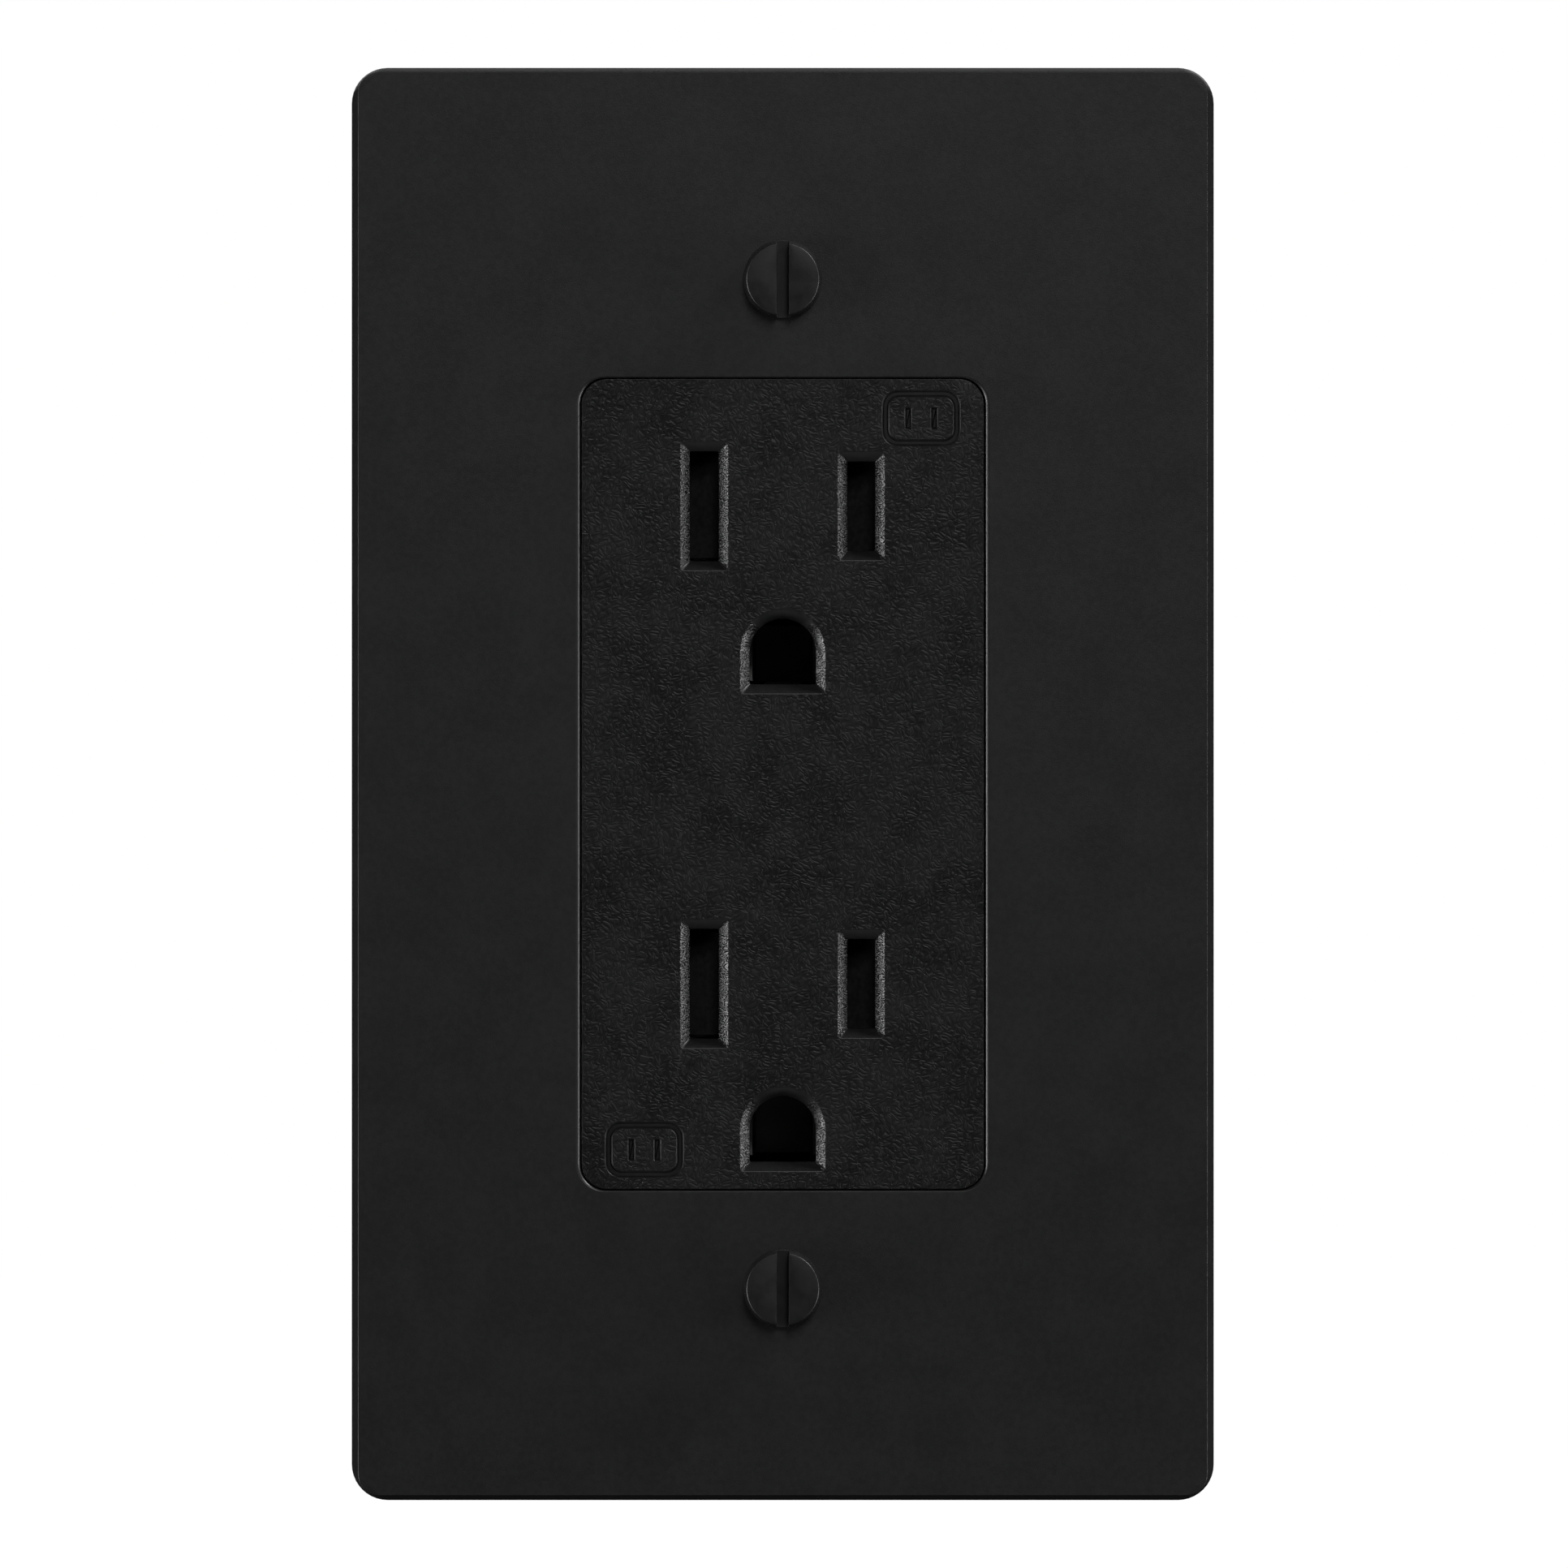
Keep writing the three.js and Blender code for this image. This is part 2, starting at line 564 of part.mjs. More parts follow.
// The slider covers both blade slots. Two blades pushed together on its ramps move it to +X,
// until its windows are behind the slots.
function shutterSlider() {
  const plate = block(
    [SHUTTER.left, SHUTTER.right],
    [SHUTTER.plateFront, SHUTTER.back],
    [-SHUTTER.halfHeight, SHUTTER.halfHeight],
  );
  const { before, crest, after, halfHeight } = SHUTTER_RAMP;
  const foot = SHUTTER.plateFront + 0.4;
  const ramps = BLADE_SLOTS.map(({ x }) =>
    strip(
      [
        [x - before, foot],
        [x - before, SHUTTER.plateFront],
        [x + crest, SHUTTER.front],
        [x + after, SHUTTER.front],
        [x + after, foot],
      ],
      [-halfHeight, halfHeight],
    ),
  );
  const windows = BLADE_SLOTS.map(({ x }) =>
    block(
      [x - SHUTTER.travel - SHUTTER_WINDOW.halfWidth, x - SHUTTER.travel + SHUTTER_WINDOW.halfWidth],
      [SHUTTER.plateFront - REACH, SHUTTER.back + REACH],
      [-SHUTTER_WINDOW.halfHeight, SHUTTER_WINDOW.halfHeight],
    ),
  );
  const pusher = block(
    [SHUTTER_PUSHER.left, SHUTTER_PUSHER.right],
    [SPRING.y - SPRING.coilRadius, SHUTTER.back],
    [SHUTTER_PUSHER.low, -SHUTTER.halfHeight + WELD],
  );
  return join(cut(plate, ...windows), ...ramps, pusher);
}

function shutterPlatform() {
  const { halfWidth, low, high, thickness, railInner, railFront } = PLATFORM;
  const plate = block([-halfWidth, halfWidth], [0, thickness], [low, high]);
  const topRail = block([-halfWidth, halfWidth], [railFront, WELD], [railInner, high]);
  const leftRail = block([-halfWidth, SHUTTER_PUSHER.left - GAP], [railFront, WELD], [-high, -railInner]);
  const rightRail = block([SPRING_POST.right, halfWidth], [railFront, WELD], [-high, -railInner]);
  const post = block(
    [SPRING_POST.left, SPRING_POST.right + WELD],
    [railFront, WELD],
    [low, -railInner],
  );
  const pin = solid(
    new THREE.CylinderGeometry(SPRING_POST.pinRadius, SPRING_POST.pinRadius, SPRING_POST.left + WELD - SPRING_POST.pinEnd, 8)
      .rotateZ(Math.PI / 2)
      .translate((SPRING_POST.left + WELD + SPRING_POST.pinEnd) / 2, SPRING.y, SPRING.z),
  );
  const windows = BLADE_SLOTS.map(({ x }) =>
    block([x - 1.6, x + 1.6], [-REACH, thickness + REACH], [-4.8, 4.8]),
  );
  return join(cut(join(plate, topRail, leftRail, rightRail), ...windows), post, pin);
}

class Coil extends THREE.Curve {
  getPoint(t, target = new THREE.Vector3()) {
    const angle = 2 * Math.PI * SPRING.turns * t;
    const [start, end] = [SPRING.left + SPRING.wireRadius, SPRING.right - SPRING.wireRadius];
    return target.set(
      start + (end - start) * t,
      SPRING.y + SPRING.coilRadius * Math.cos(angle),
      SPRING.z + SPRING.coilRadius * Math.sin(angle),
    );
  }
}

function shutterSpring() {
  const wire = new THREE.Shape().absarc(0, 0, SPRING.wireRadius, 0, 2 * Math.PI);
  const geometry = new THREE.ExtrudeGeometry(wire, {
    steps: SPRING.turns * 9,
    curveSegments: 3,
    extrudePath: new Coil(),
  });
  return solid(geometry);
}

// ---------------------------------------------------------------- contacts and bus bars

// A spring jaw bent from strip: two leaves that narrow to a pinch, open again at the mouth,
// and meet in a web at the back.
function jaw({ mouth, web, back, outer, leaf, pinch }, x, halfHeight) {
  const inner = outer - leaf;
  const pinchAt = mouth + 2.4;
  const side = [
    [outer, back],
    [outer, web - 1.8],
    [pinch + leaf, pinchAt + 0.4],
    [pinch + leaf, pinchAt - 0.4],
    [outer - 0.05, mouth],
    [inner - 0.05, mouth],
    [pinch, pinchAt - 0.3],
    [pinch, pinchAt + 0.3],
    [inner, web - 1.9],
    [inner, web],
  ];
  const mirrored = side.map(([u, y]) => [-u, y]).reverse();
  const outline = [...side, ...mirrored].map(([u, y]) => [x + u, y]);
  return strip(outline, [-halfHeight, halfHeight]);
}

// An insulation-displacing fork stands on a bus bar and reaches back through the rear housing.
function fork(x, z, half, front) {
  const { crotch, tip, slotHalf } = FORK;
  const lead = 0.5;
  return strip(
    [
      [x - half, front],
      [x + half, front],
      [x + half, tip - lead],
      [x + half - lead, tip],
      [x + slotHalf + lead / 2, tip],
      [x + slotHalf, tip - lead],
      [x + slotHalf, crotch],
      [x - slotHalf, crotch],
      [x - slotHalf, tip - lead],
      [x - slotHalf - lead / 2, tip],
      [x - half + lead, tip],
      [x - half, tip - lead],
    ],
    [z - BUS.thickness / 2, z + BUS.thickness / 2],
  );
}

function forkPlaces() {
  return [
    ...[-1, 1].flatMap((side) => FORK_HEIGHT.blade.map((z) => ({ x: side * SLOT_X, z, half: FORK.bladeHalf }))),
    ...FORK_HEIGHT.ground.map((z) => ({ x: 0, z, half: FORK.groundHalf })),
  ];
}

// The strip behind two blade contacts. Its waist is where it can be broken to split the outlets.
function bladeBus(side) {
  const [high, low] = FORK_HEIGHT.blade;
  const half = BUS.thickness / 2;
  const depth = [BUS.bladeFront, BUS.bladeFront + BUS.thickness];
  const bar = block([side * BUS.bladeInner, side * BUS.bladeOuter], depth, [low - half, high + half]);
  const waist = [CROSS_WALL.low - 1, CROSS_WALL.high + 1];
  const cutDepth = [depth[0] - REACH, depth[1] + REACH];
  const notches = [
    block([side * (BUS.bladeInner - REACH), side * (BUS.bladeInner + 1.5)], cutDepth, waist),
    block([side * (BUS.bladeOuter - 1.5), side * (BUS.bladeOuter + REACH)], cutDepth, waist),
  ];
  const forks = [high, low].map((z) => fork(side * SLOT_X, z, FORK.bladeHalf, BUS.bladeFront));
  return join(cut(bar, ...notches), ...forks);
}

function groundBus() {
  const ends = Object.values(OUTLET_HEIGHT).map((z) => z - GROUND_HOLE.archDrop);
  const bar = block(
    [-BUS.groundHalf, BUS.groundHalf],
    [BUS.groundFront, BUS.groundFront + BUS.thickness],
    [ends[1] - 2.3, ends[0] + 2.3],
  );
  const forks = FORK_HEIGHT.ground.map((z) => fork(0, z, FORK.groundHalf, BUS.groundFront));
  return join(bar, ...forks);
}

// ---------------------------------------------------------------- the assembly

function piece(name, body, look, parent) {
  const mesh = new THREE.Mesh(toGeometry(body), new THREE.MeshStandardMaterial(look));
  mesh.name = name;
  parent.add(mesh);
  return mesh;
}

const receptacle = new THREE.Group();

piece('wall_plate', wallPlate(), BLACK_PLASTIC, receptacle);
piece('receptacle_face', receptacleFace(), BLACK_GRAINED_PLASTIC, receptacle);
piece('front_housing', frontHousing(), BLACK_INNER_PLASTIC, receptacle);
piece('rear_housing', rearHousing(), BLACK_INNER_PLASTIC, receptacle);
piece('rear_cover', rearCover(), GREY_PLASTIC, receptacle);
piece('hot_bus', bladeBus(1), BRASS, receptacle);
piece('neutral_bus', bladeBus(-1), ZINC_STEEL, receptacle);
piece('ground_bus', groundBus(), BRASS, receptacle);

// What each of the two outlets holds, in a group at the middle of its blade slots.
for (const [place, height] of Object.entries(OUTLET_HEIGHT)) {
  const outlet = new THREE.Group();
  outlet.position.z = height;
  receptacle.add(outlet);
  piece(`${place}_shutter_platform`, shutterPlatform(), WHITE_PLASTIC, outlet);
  piece(`${place}_shutter_slider`, shutterSlider(), GREY_PLASTIC, outlet);
  piece(`${place}_shutter_spring`, shutterSpring(), SPRING_STEEL, outlet);
  piece(`${place}_hot_contact`, jaw(BLADE_CONTACT, HOT_SLOT.x, 3.0), BRASS, outlet);
  piece(`${place}_neutral_contact`, jaw(BLADE_CONTACT, NEUTRAL_SLOT.x, 3.8), BRASS, outlet);
  const ground = piece(`${place}_ground_contact`, jaw(PIN_CONTACT, 0, 2.3), BRASS, outlet);
  ground.position.z = -GROUND_HOLE.archDrop;
}

// The hardware at each end is in a group on its screw's axis; the lower one is turned half round.
for (const [place, turn] of [['upper', 0], ['lower', Math.PI]]) {
  const end = new THREE.Group();
  end.rotation.y = turn;
  receptacle.add(end);
  const axis = new THREE.Group();
  axis.position.z = SCREW_HEIGHT;
  end.add(axis);
  piece(`${place}_mounting_screw`, mountingScrew(), BLACK_STEEL, axis);
  piece(`${place}_screw_retainer`, screwRetainer(), FIBRE, axis);
  piece(`${place}_clamp_bush`, clampBush(), BRASS, axis);
  piece(`${place}_clamp_wing`, clampWing(), ZINC_STEEL, axis);
  piece(`${place}_cable_clamp`, cableClamp(), GREY_PLASTIC, end);
  for (const [hand, side] of [['left', -1], ['right', 1]]) {
    const screw = piece(
      `${place}_cable_clamp_screw_${hand}`,
      assemblyScrew(CLAMP_SCREW, COVER.back + GAP),
      ZINC_STEEL,
      end,
    );
    screw.position.set(side * CLAMP_SCREW.x, 0, CLAMP_SCREW.z);
  }
}

for (const [i, k] of CORNERS) {
  const name = `housing_screw_${k > 0 ? 'upper' : 'lower'}_${i > 0 ? 'right' : 'left'}`;
  const screw = piece(name, assemblyScrew(HOUSING_SCREW, BODY.back + GAP), ZINC_STEEL, receptacle);
  screw.position.set(i * HOUSING_SCREW.x, 0, k * HOUSING_SCREW.z);
}

for (const [hand, side] of [['left', -1], ['right', 1]]) {
  const screw = piece(
    `cover_screw_${hand}`,
    assemblyScrew(COVER_SCREW, COVER.back + GAP),
    ZINC_STEEL,
    receptacle,
  );
  screw.position.set(side * COVER_SCREW.x, 0, COVER_SCREW.z);
}

export default receptacle;
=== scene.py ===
import math

import bmesh
import bpy
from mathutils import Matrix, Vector

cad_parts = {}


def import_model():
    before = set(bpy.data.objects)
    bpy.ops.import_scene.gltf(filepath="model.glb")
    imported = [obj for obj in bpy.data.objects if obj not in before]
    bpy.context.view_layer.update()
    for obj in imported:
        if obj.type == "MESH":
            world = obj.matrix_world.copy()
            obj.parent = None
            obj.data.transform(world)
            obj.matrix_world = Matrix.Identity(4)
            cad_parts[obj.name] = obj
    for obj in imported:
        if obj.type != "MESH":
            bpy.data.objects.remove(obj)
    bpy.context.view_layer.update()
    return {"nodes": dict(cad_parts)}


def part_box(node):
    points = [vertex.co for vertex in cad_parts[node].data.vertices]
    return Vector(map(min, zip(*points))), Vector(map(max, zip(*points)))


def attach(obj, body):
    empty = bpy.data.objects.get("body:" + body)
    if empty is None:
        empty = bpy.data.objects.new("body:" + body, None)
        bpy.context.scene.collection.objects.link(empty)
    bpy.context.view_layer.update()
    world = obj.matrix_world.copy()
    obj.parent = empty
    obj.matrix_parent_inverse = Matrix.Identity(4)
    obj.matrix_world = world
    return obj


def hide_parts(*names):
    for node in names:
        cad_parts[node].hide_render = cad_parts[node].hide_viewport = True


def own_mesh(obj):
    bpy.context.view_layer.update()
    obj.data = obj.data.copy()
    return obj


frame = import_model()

# A flush duplex receptacle with its wall plate. Lengths are in millimetres up to the section on
# the studio, and each mesh is turned into metres as it is finished. +X is to the right, +Y into
# the wall and +Z up, so a front face has the lowest y.
MM = 0.001
NODES = frame["nodes"]


def box_mm(node):
    """A CAD node's lowest and highest corners in millimetres."""
    low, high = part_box(node)
    return low / MM, high / MM


# ---------------------------------------------------------------- outlines and meshes

ARC = 10  # steps round a quarter of a corner
SMALL_ARC = 3  # the same on a small corner
FILLET = 3  # steps from a front face to its side
BLOCK_EDGE = 0.12  # the chamfer on a plain block
MERGE = 1e-4  # points closer than this are one point
SHARP = math.radians(32)  # edges that turn by more than this stay crisp


def rounded(left, right, low, high, radius, steps=ARC):
    """A rectangle with round corners as [x, z] points."""
    points = []
    for cx, cz, start in (
        (right - radius, low + radius, -90),
        (right - radius, high - radius, 0),
        (left + radius, high - radius, 90),
        (left + radius, low + radius, 180),
    ):
        for k in range(steps + 1):
            a = math.radians(start + 90 * k / steps)
            points.append((cx + radius * math.cos(a), cz + radius * math.sin(a)))
    return points


def centred(width, height, radius, x=0.0, z=0.0, steps=ARC):
    return rounded(x - width / 2, x + width / 2, z - height / 2, z + height / 2, radius, steps)


def circle(radius, x=0.0, z=0.0, steps=48):
    turn = 2 * math.pi / steps
    return [(x + radius * math.cos(k * turn), z + radius * math.sin(k * turn)) for k in range(steps)]


def quarter(radius, steps=FILLET):
    """A quarter round as [inset, depth] pairs, from the front face to the side."""
    angles = [math.pi / 2 * k / steps for k in range(steps + 1)]
    return [(radius * (1 - math.sin(a)), radius * (1 - math.cos(a))) for a in angles]


def mesh_from(bm, name, scale=1.0):
    """Points a bmesh's faces outwards, makes it a mesh and frees it."""
    bmesh.ops.recalc_face_normals(bm, faces=bm.faces)
    bmesh.ops.scale(bm, vec=(scale, scale, scale), verts=bm.verts)
    mesh = bpy.data.meshes.new(name)
    bm.to_mesh(mesh)
    bm.free()
    return mesh


class Shell:
    """A closed mesh made of rings of points at set depths, the walls between them and flat fills."""

    def __init__(self, bm=None):
        self.bm = bm or bmesh.new()

    def ring(self, outline, y):
        return [self.bm.verts.new((x, y, z)) for x, z in outline]

    def wall(self, a, b, slot=0):
        for i in range(len(a)):
            j = (i + 1) % len(a)
            face = self.bm.faces.new((a[i], a[j], b[j], b[i]))
            face.material_index = slot(face) if callable(slot) else slot

    def walls(self, rings, slot=0):
        for a, b in zip(rings, rings[1:]):
            self.wall(a, b, slot)

    def flat(self, rings, slot=0):
        """Fills the plane between an outer ring and the rings inside it."""
        edges = []
        for ring in rings:
            for i in range(len(ring)):
                pair = (ring[i - 1], ring[i])
                edges.append(self.bm.edges.get(pair) or self.bm.edges.new(pair))
        made = bmesh.ops.triangle_fill(self.bm, use_beauty=True, use_dissolve=False, edges=edges)
        for item in made["geom"]:
            if isinstance(item, bmesh.types.BMFace):
                item.material_index = slot

    def cap(self, ring, slot=0):
        self.bm.faces.new(ring).material_index = slot

    def block(self, x, y, z, slot=0):
        """A box with small chamfers on all its edges, as a shell of its own."""
        made = bmesh.ops.create_cube(self.bm, size=1)
        size = [abs(x[1] - x[0]), abs(y[1] - y[0]), abs(z[1] - z[0])]
        middle = Vector([(x[0] + x[1]) / 2, (y[0] + y[1]) / 2, (z[0] + z[1]) / 2])
        for vert in made["verts"]:
            vert.co = Vector([c * s for c, s in zip(vert.co, size)]) + middle
        edges = list({e for v in made["verts"] for e in v.link_edges})
        for face in {f for v in made["verts"] for f in v.link_faces}:
            face.material_index = slot
        bmesh.ops.bevel(
            self.bm, geom=edges, offset=BLOCK_EDGE, segments=1, affect="EDGES", profile=0.5
        )

    def finish(self, name, materials, body, replaced):
        """Turns the mesh into an object that rides on a body and stands for a CAD node."""
        bmesh.ops.remove_doubles(self.bm, verts=self.bm.verts, dist=MERGE)
        mesh = mesh_from(self.bm, name, MM)
        for polygon in mesh.polygons:
            polygon.use_smooth = True
        mesh.set_sharp_from_angle(angle=SHARP)
        for material in materials:
            mesh.materials.append(material)
        piece = bpy.data.objects.new(name, mesh)
        bpy.context.scene.collection.objects.link(piece)
        weight_normals(piece)
        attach(piece, body)
        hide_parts(replaced)
        return piece


def weight_normals(piece):
    modifier = piece.modifiers.new("weighted_normals", "WEIGHTED_NORMAL")
    modifier.keep_sharp = True
    modifier.weight = 80


# ---------------------------------------------------------------- materials

NOISE_LOW, NOISE_HIGH = 0.3, 0.7  # a noise texture spends most of its area between these


class Finish:
    """A node material on a Principled shader, in millimetres of the object's own space."""

    def __init__(self, name, color, roughness, metallic=0.0, specular=0.5):
        self.material = bpy.data.materials.new(name)
        self.material.use_nodes = True
        self.tree = self.material.node_tree
        self.shader = self.tree.nodes["Principled BSDF"]
        self.shader.inputs["Base Color"].default_value = (*color, 1)
        self.shader.inputs["Roughness"].default_value = roughness
        self.shader.inputs["Metallic"].default_value = metallic
        self.shader.inputs["Specular IOR Level"].default_value = specular
        self.color = color
        place = self.node("ShaderNodeTexCoord")
        self.mm = self.vector_math("MULTIPLY", place.outputs["Object"], (1 / MM, 1 / MM, 1 / MM))

    def node(self, kind, **settings):
        node = self.tree.nodes.new(kind)
        for key, value in settings.items():
            setattr(node, key, value)
        return node

    def feed(self, socket, value):
        """Links a socket, or sets its constant."""
        if isinstance(value, bpy.types.NodeSocket):
            self.tree.links.new(value, socket)
        else:
            socket.default_value = value

    def math(self, operation, a, b):
        node = self.node("ShaderNodeMath", operation=operation)
        self.feed(node.inputs[0], a)
        self.feed(node.inputs[1], b)
        return node.outputs[0]

    def vector_math(self, operation, a, b):
        node = self.node("ShaderNodeVectorMath", operation=operation)
        self.feed(node.inputs[0], a)
        self.feed(node.inputs[1], b)
        return node.outputs[0]

    def blend(self, a, share_a, b, share_b):
        """The sum of two values, each times its share."""
        return self.math("ADD", self.math("MULTIPLY", a, share_a), self.math("MULTIPLY", b, share_b))

    def noise(self, per_mm, detail, roughness=0.5, vector=None):
        node = self.node("ShaderNodeTexNoise")
        self.feed(node.inputs["Vector"], vector or self.mm)
        node.inputs["Scale"].default_value = per_mm
        node.inputs["Detail"].default_value = detail
        node.inputs["Roughness"].default_value = roughness
        return node

    def ramp(self, value, low=NOISE_LOW, high=NOISE_HIGH, to_low=0.0, to_high=1.0):
        node = self.node("ShaderNodeMapRange", interpolation_type="SMOOTHSTEP")
        limits = {"From Min": low, "From Max": high, "To Min": to_low, "To Max": to_high}
        for key, number in limits.items():
            node.inputs[key].default_value = number
        self.feed(node.inputs["Value"], value)
        return node.outputs["Result"]

    def tint(self, factor, dark, light):
        """Colour that runs between two shares of the base colour."""
        node = self.node("ShaderNodeMix", data_type="RGBA")
        self.feed(node.inputs["Factor"], factor)
        node.inputs["A"].default_value = (*[dark * c for c in self.color], 1)
        node.inputs["B"].default_value = (*[light * c for c in self.color], 1)
        self.feed(self.shader.inputs["Base Color"], node.outputs["Result"])

    def rough(self, factor, low, high):
        self.feed(self.shader.inputs["Roughness"], self.ramp(factor, to_low=low, to_high=high))

    def bump(self, height, micrometres):
        node = self.node("ShaderNodeBump")
        node.inputs["Strength"].default_value = 1.0
        node.inputs["Distance"].default_value = micrometres * 1e-6
        self.feed(node.inputs["Height"], height)
        self.feed(self.shader.inputs["Normal"], node.outputs["Normal"])


def fine_plastic(name, color, roughness, grain_um, specular=0.5):
    """Moulded plastic with a fine spark-eroded grain and slow cloudy patches."""
    f = Finish(name, color, roughness, specular=specular)
    grain = f.noise(per_mm=7.0, detail=3.0, roughness=0.62).outputs["Fac"]
    cloud = f.noise(per_mm=0.22, detail=3.0, roughness=0.55).outputs["Fac"]
    speck = f.noise(per_mm=2.6, detail=2.0).outputs["Fac"]
    f.tint(f.ramp(f.blend(cloud, 0.25, speck, 0.75)), dark=0.72, light=1.28)
    f.rough(cloud, roughness - 0.008, roughness + 0.012)
    f.bump(grain, grain_um)
    return f.material


def leather_plastic(name, color, roughness, height_um, stroke=(0.34, 0.72), patches=1.0, specular=0.5):
    """Plastic moulded with short worm-like strokes, which run one way in each patch.

    A stroke is about as wide and as long as the pair in stroke says, and patches says how many
    patches there are to a millimetre. The pattern lies in the plane of the front.
    """
    f = Finish(name, color, roughness, specular=specular)
    axes = f.node("ShaderNodeSeparateXYZ")
    f.feed(axes.inputs[0], f.mm)
    front = f.node("ShaderNodeCombineXYZ")
    f.feed(front.inputs["X"], axes.outputs["X"])
    f.feed(front.inputs["Y"], axes.outputs["Z"])

    wobble = f.noise(per_mm=1.1, detail=1.0, vector=front.outputs[0])
    centred_wobble = f.vector_math("SUBTRACT", wobble.outputs["Color"], (0.5, 0.5, 0.5))
    shift = f.vector_math("MULTIPLY", centred_wobble, (0.9, 0.9, 0))
    bent = f.vector_math("ADD", front.outputs[0], shift)

    cells = f.node("ShaderNodeTexVoronoi", voronoi_dimensions="2D", feature="F1")
    f.feed(cells.inputs["Vector"], bent)
    cells.inputs["Scale"].default_value = patches
    parts = f.node("ShaderNodeSeparateColor")
    f.feed(parts.inputs[0], cells.outputs["Color"])
    turned = f.node("ShaderNodeVectorRotate", rotation_type="Z_AXIS")
    f.feed(turned.inputs["Vector"], bent)
    f.feed(turned.inputs["Angle"], f.math("MULTIPLY", parts.outputs["Red"], math.pi))

    strokes = f.node("ShaderNodeTexVoronoi", voronoi_dimensions="2D", feature="DISTANCE_TO_EDGE")
    stroke_sizes = (1 / stroke[0], 1 / stroke[1], 1)
    f.feed(strokes.inputs["Vector"], f.vector_math("MULTIPLY", turned.outputs[0], stroke_sizes))
    strokes.inputs["Scale"].default_value = 1.0
    strokes.inputs["Randomness"].default_value = 0.85
    worm = f.ramp(strokes.outputs["Distance"], low=0.08, high=0.32)

    fine = f.noise(per_mm=9.0, detail=2.0, roughness=0.6).outputs["Fac"]
    cloud = f.noise(per_mm=0.3, detail=3.0, roughness=0.55).outputs["Fac"]
    f.tint(f.blend(worm, 0.62, f.ramp(cloud), 0.38), dark=0.4, light=1.8)
    f.rough(cloud, roughness - 0.04, roughness + 0.05)
    f.bump(f.math("ADD", worm, f.math("MULTIPLY", fine, 0.25)), height_um)
    return f.material


def sheet_metal(name, color, roughness, across=(1.0, 1.0, 14.0), stain=0.12):
    """Rolled or plated metal: fine lines, close together across their run, and faint stains."""
    f = Finish(name, color, roughness, metallic=1.0)
    stretched = f.vector_math("MULTIPLY", f.mm, across)
    lines = f.noise(per_mm=2.2, detail=3.0, roughness=0.65, vector=stretched).outputs["Fac"]
    stains = f.noise(per_mm=0.5, detail=3.0, roughness=0.6).outputs["Fac"]
    f.tint(f.blend(lines, 0.5, stains, 0.5), dark=1 - stain, light=1 + 0.5 * stain)
    f.rough(f.blend(lines, 0.6, stains, 0.4), roughness - 0.07, roughness + 0.12)
    f.bump(lines, 1.2)
    return f.material


def lacquered_steel(name, color, roughness):
    """Black lacquer on a steel screw, with a slight orange peel."""
    f = Finish(name, color, roughness, specular=0.42)
    peel = f.noise(per_mm=4.5, detail=3.0, roughness=0.6).outputs["Fac"]
    worn = f.noise(per_mm=0.9, detail=3.0, roughness=0.6).outputs["Fac"]
    f.tint(worn, dark=0.8, light=1.25)
    f.rough(worn, roughness - 0.04, roughness + 0.08)
    f.bump(peel, 2.5)
    return f.material


def fibre_sheet(name, color):
    """Vulcanised fibre: matt, mottled and slightly fibrous."""
    f = Finish(name, color, roughness=0.8)
    mottle = f.noise(per_mm=1.8, detail=4.0, roughness=0.65).outputs["Fac"]
    stretched = f.vector_math("MULTIPLY", f.mm, (0.4, 3.0, 2.2))
    strands = f.noise(per_mm=3.0, detail=3.0, roughness=0.6, vector=stretched).outputs["Fac"]
    f.tint(f.blend(mottle, 0.6, strands, 0.4), dark=0.6, light=1.35)
    f.rough(mottle, 0.72, 0.9)
    f.bump(strands, 18.0)
    return f.material


PLATE_BLACK = fine_plastic("plate_black", (0.0092, 0.0092, 0.0094), 0.40, grain_um=6.0)
# The plate's leaning sides get a copy of its plastic that is smoother, and darker and less reflective as
# painted shade that keeps these sides dark.
SHADED_SIDE_BLACK = fine_plastic(
    "plate_side_painted_shade", (0.0075, 0.0075, 0.0077), 0.32, grain_um=2.0, specular=0.2
)
FACE_BLACK = leather_plastic(
    "face_black", (0.0052, 0.0052, 0.0053), 0.44, height_um=18.5, specular=0.31
)
MOUTH_BLACK = leather_plastic(
    "mouth_black", (0.0080, 0.0080, 0.0082), 0.33, height_um=70.0, stroke=(0.26, 0.42), patches=1.8
)
SMOOTH_BLACK = fine_plastic("smooth_black", (0.0085, 0.0085, 0.0092), 0.38, grain_um=1.5)
HOUSING_BLACK = fine_plastic("housing_black", (0.017, 0.017, 0.018), 0.52, grain_um=7.0)
COVER_GREY = fine_plastic("cover_grey", (0.040, 0.041, 0.043), 0.5, grain_um=6.0)
SHUTTER_BLACK = fine_plastic("shutter_black", (0.075, 0.075, 0.077), 0.34, grain_um=2.0)
SLIDER_BLACK = fine_plastic("slider_black", (0.019, 0.019, 0.020), 0.30, grain_um=1.5)
SCREW_BLACK = lacquered_steel("screw_black", (0.0052, 0.0052, 0.0054), 0.44)
SCREW_SIDE = lacquered_steel("screw_side_black", (0.0050, 0.0050, 0.0052), 0.26)
ZINC = sheet_metal("zinc_plated", (0.62, 0.64, 0.66), 0.30, stain=0.07)
SPRING_WIRE = sheet_metal("spring_wire", (0.60, 0.61, 0.62), 0.22, across=(14.0, 1.0, 1.0))
BRASS = sheet_metal("rolled_brass", (0.72, 0.52, 0.24), 0.27, across=(1.0, 1.0, 12.0), stain=0.2)
NICKEL = sheet_metal("nickel_plated", (0.70, 0.69, 0.66), 0.24)
DULL_NICKEL = sheet_metal("dull_nickel", (0.48, 0.47, 0.45), 0.42)
FIBRE = fibre_sheet("red_fibre", (0.25, 0.07, 0.035))


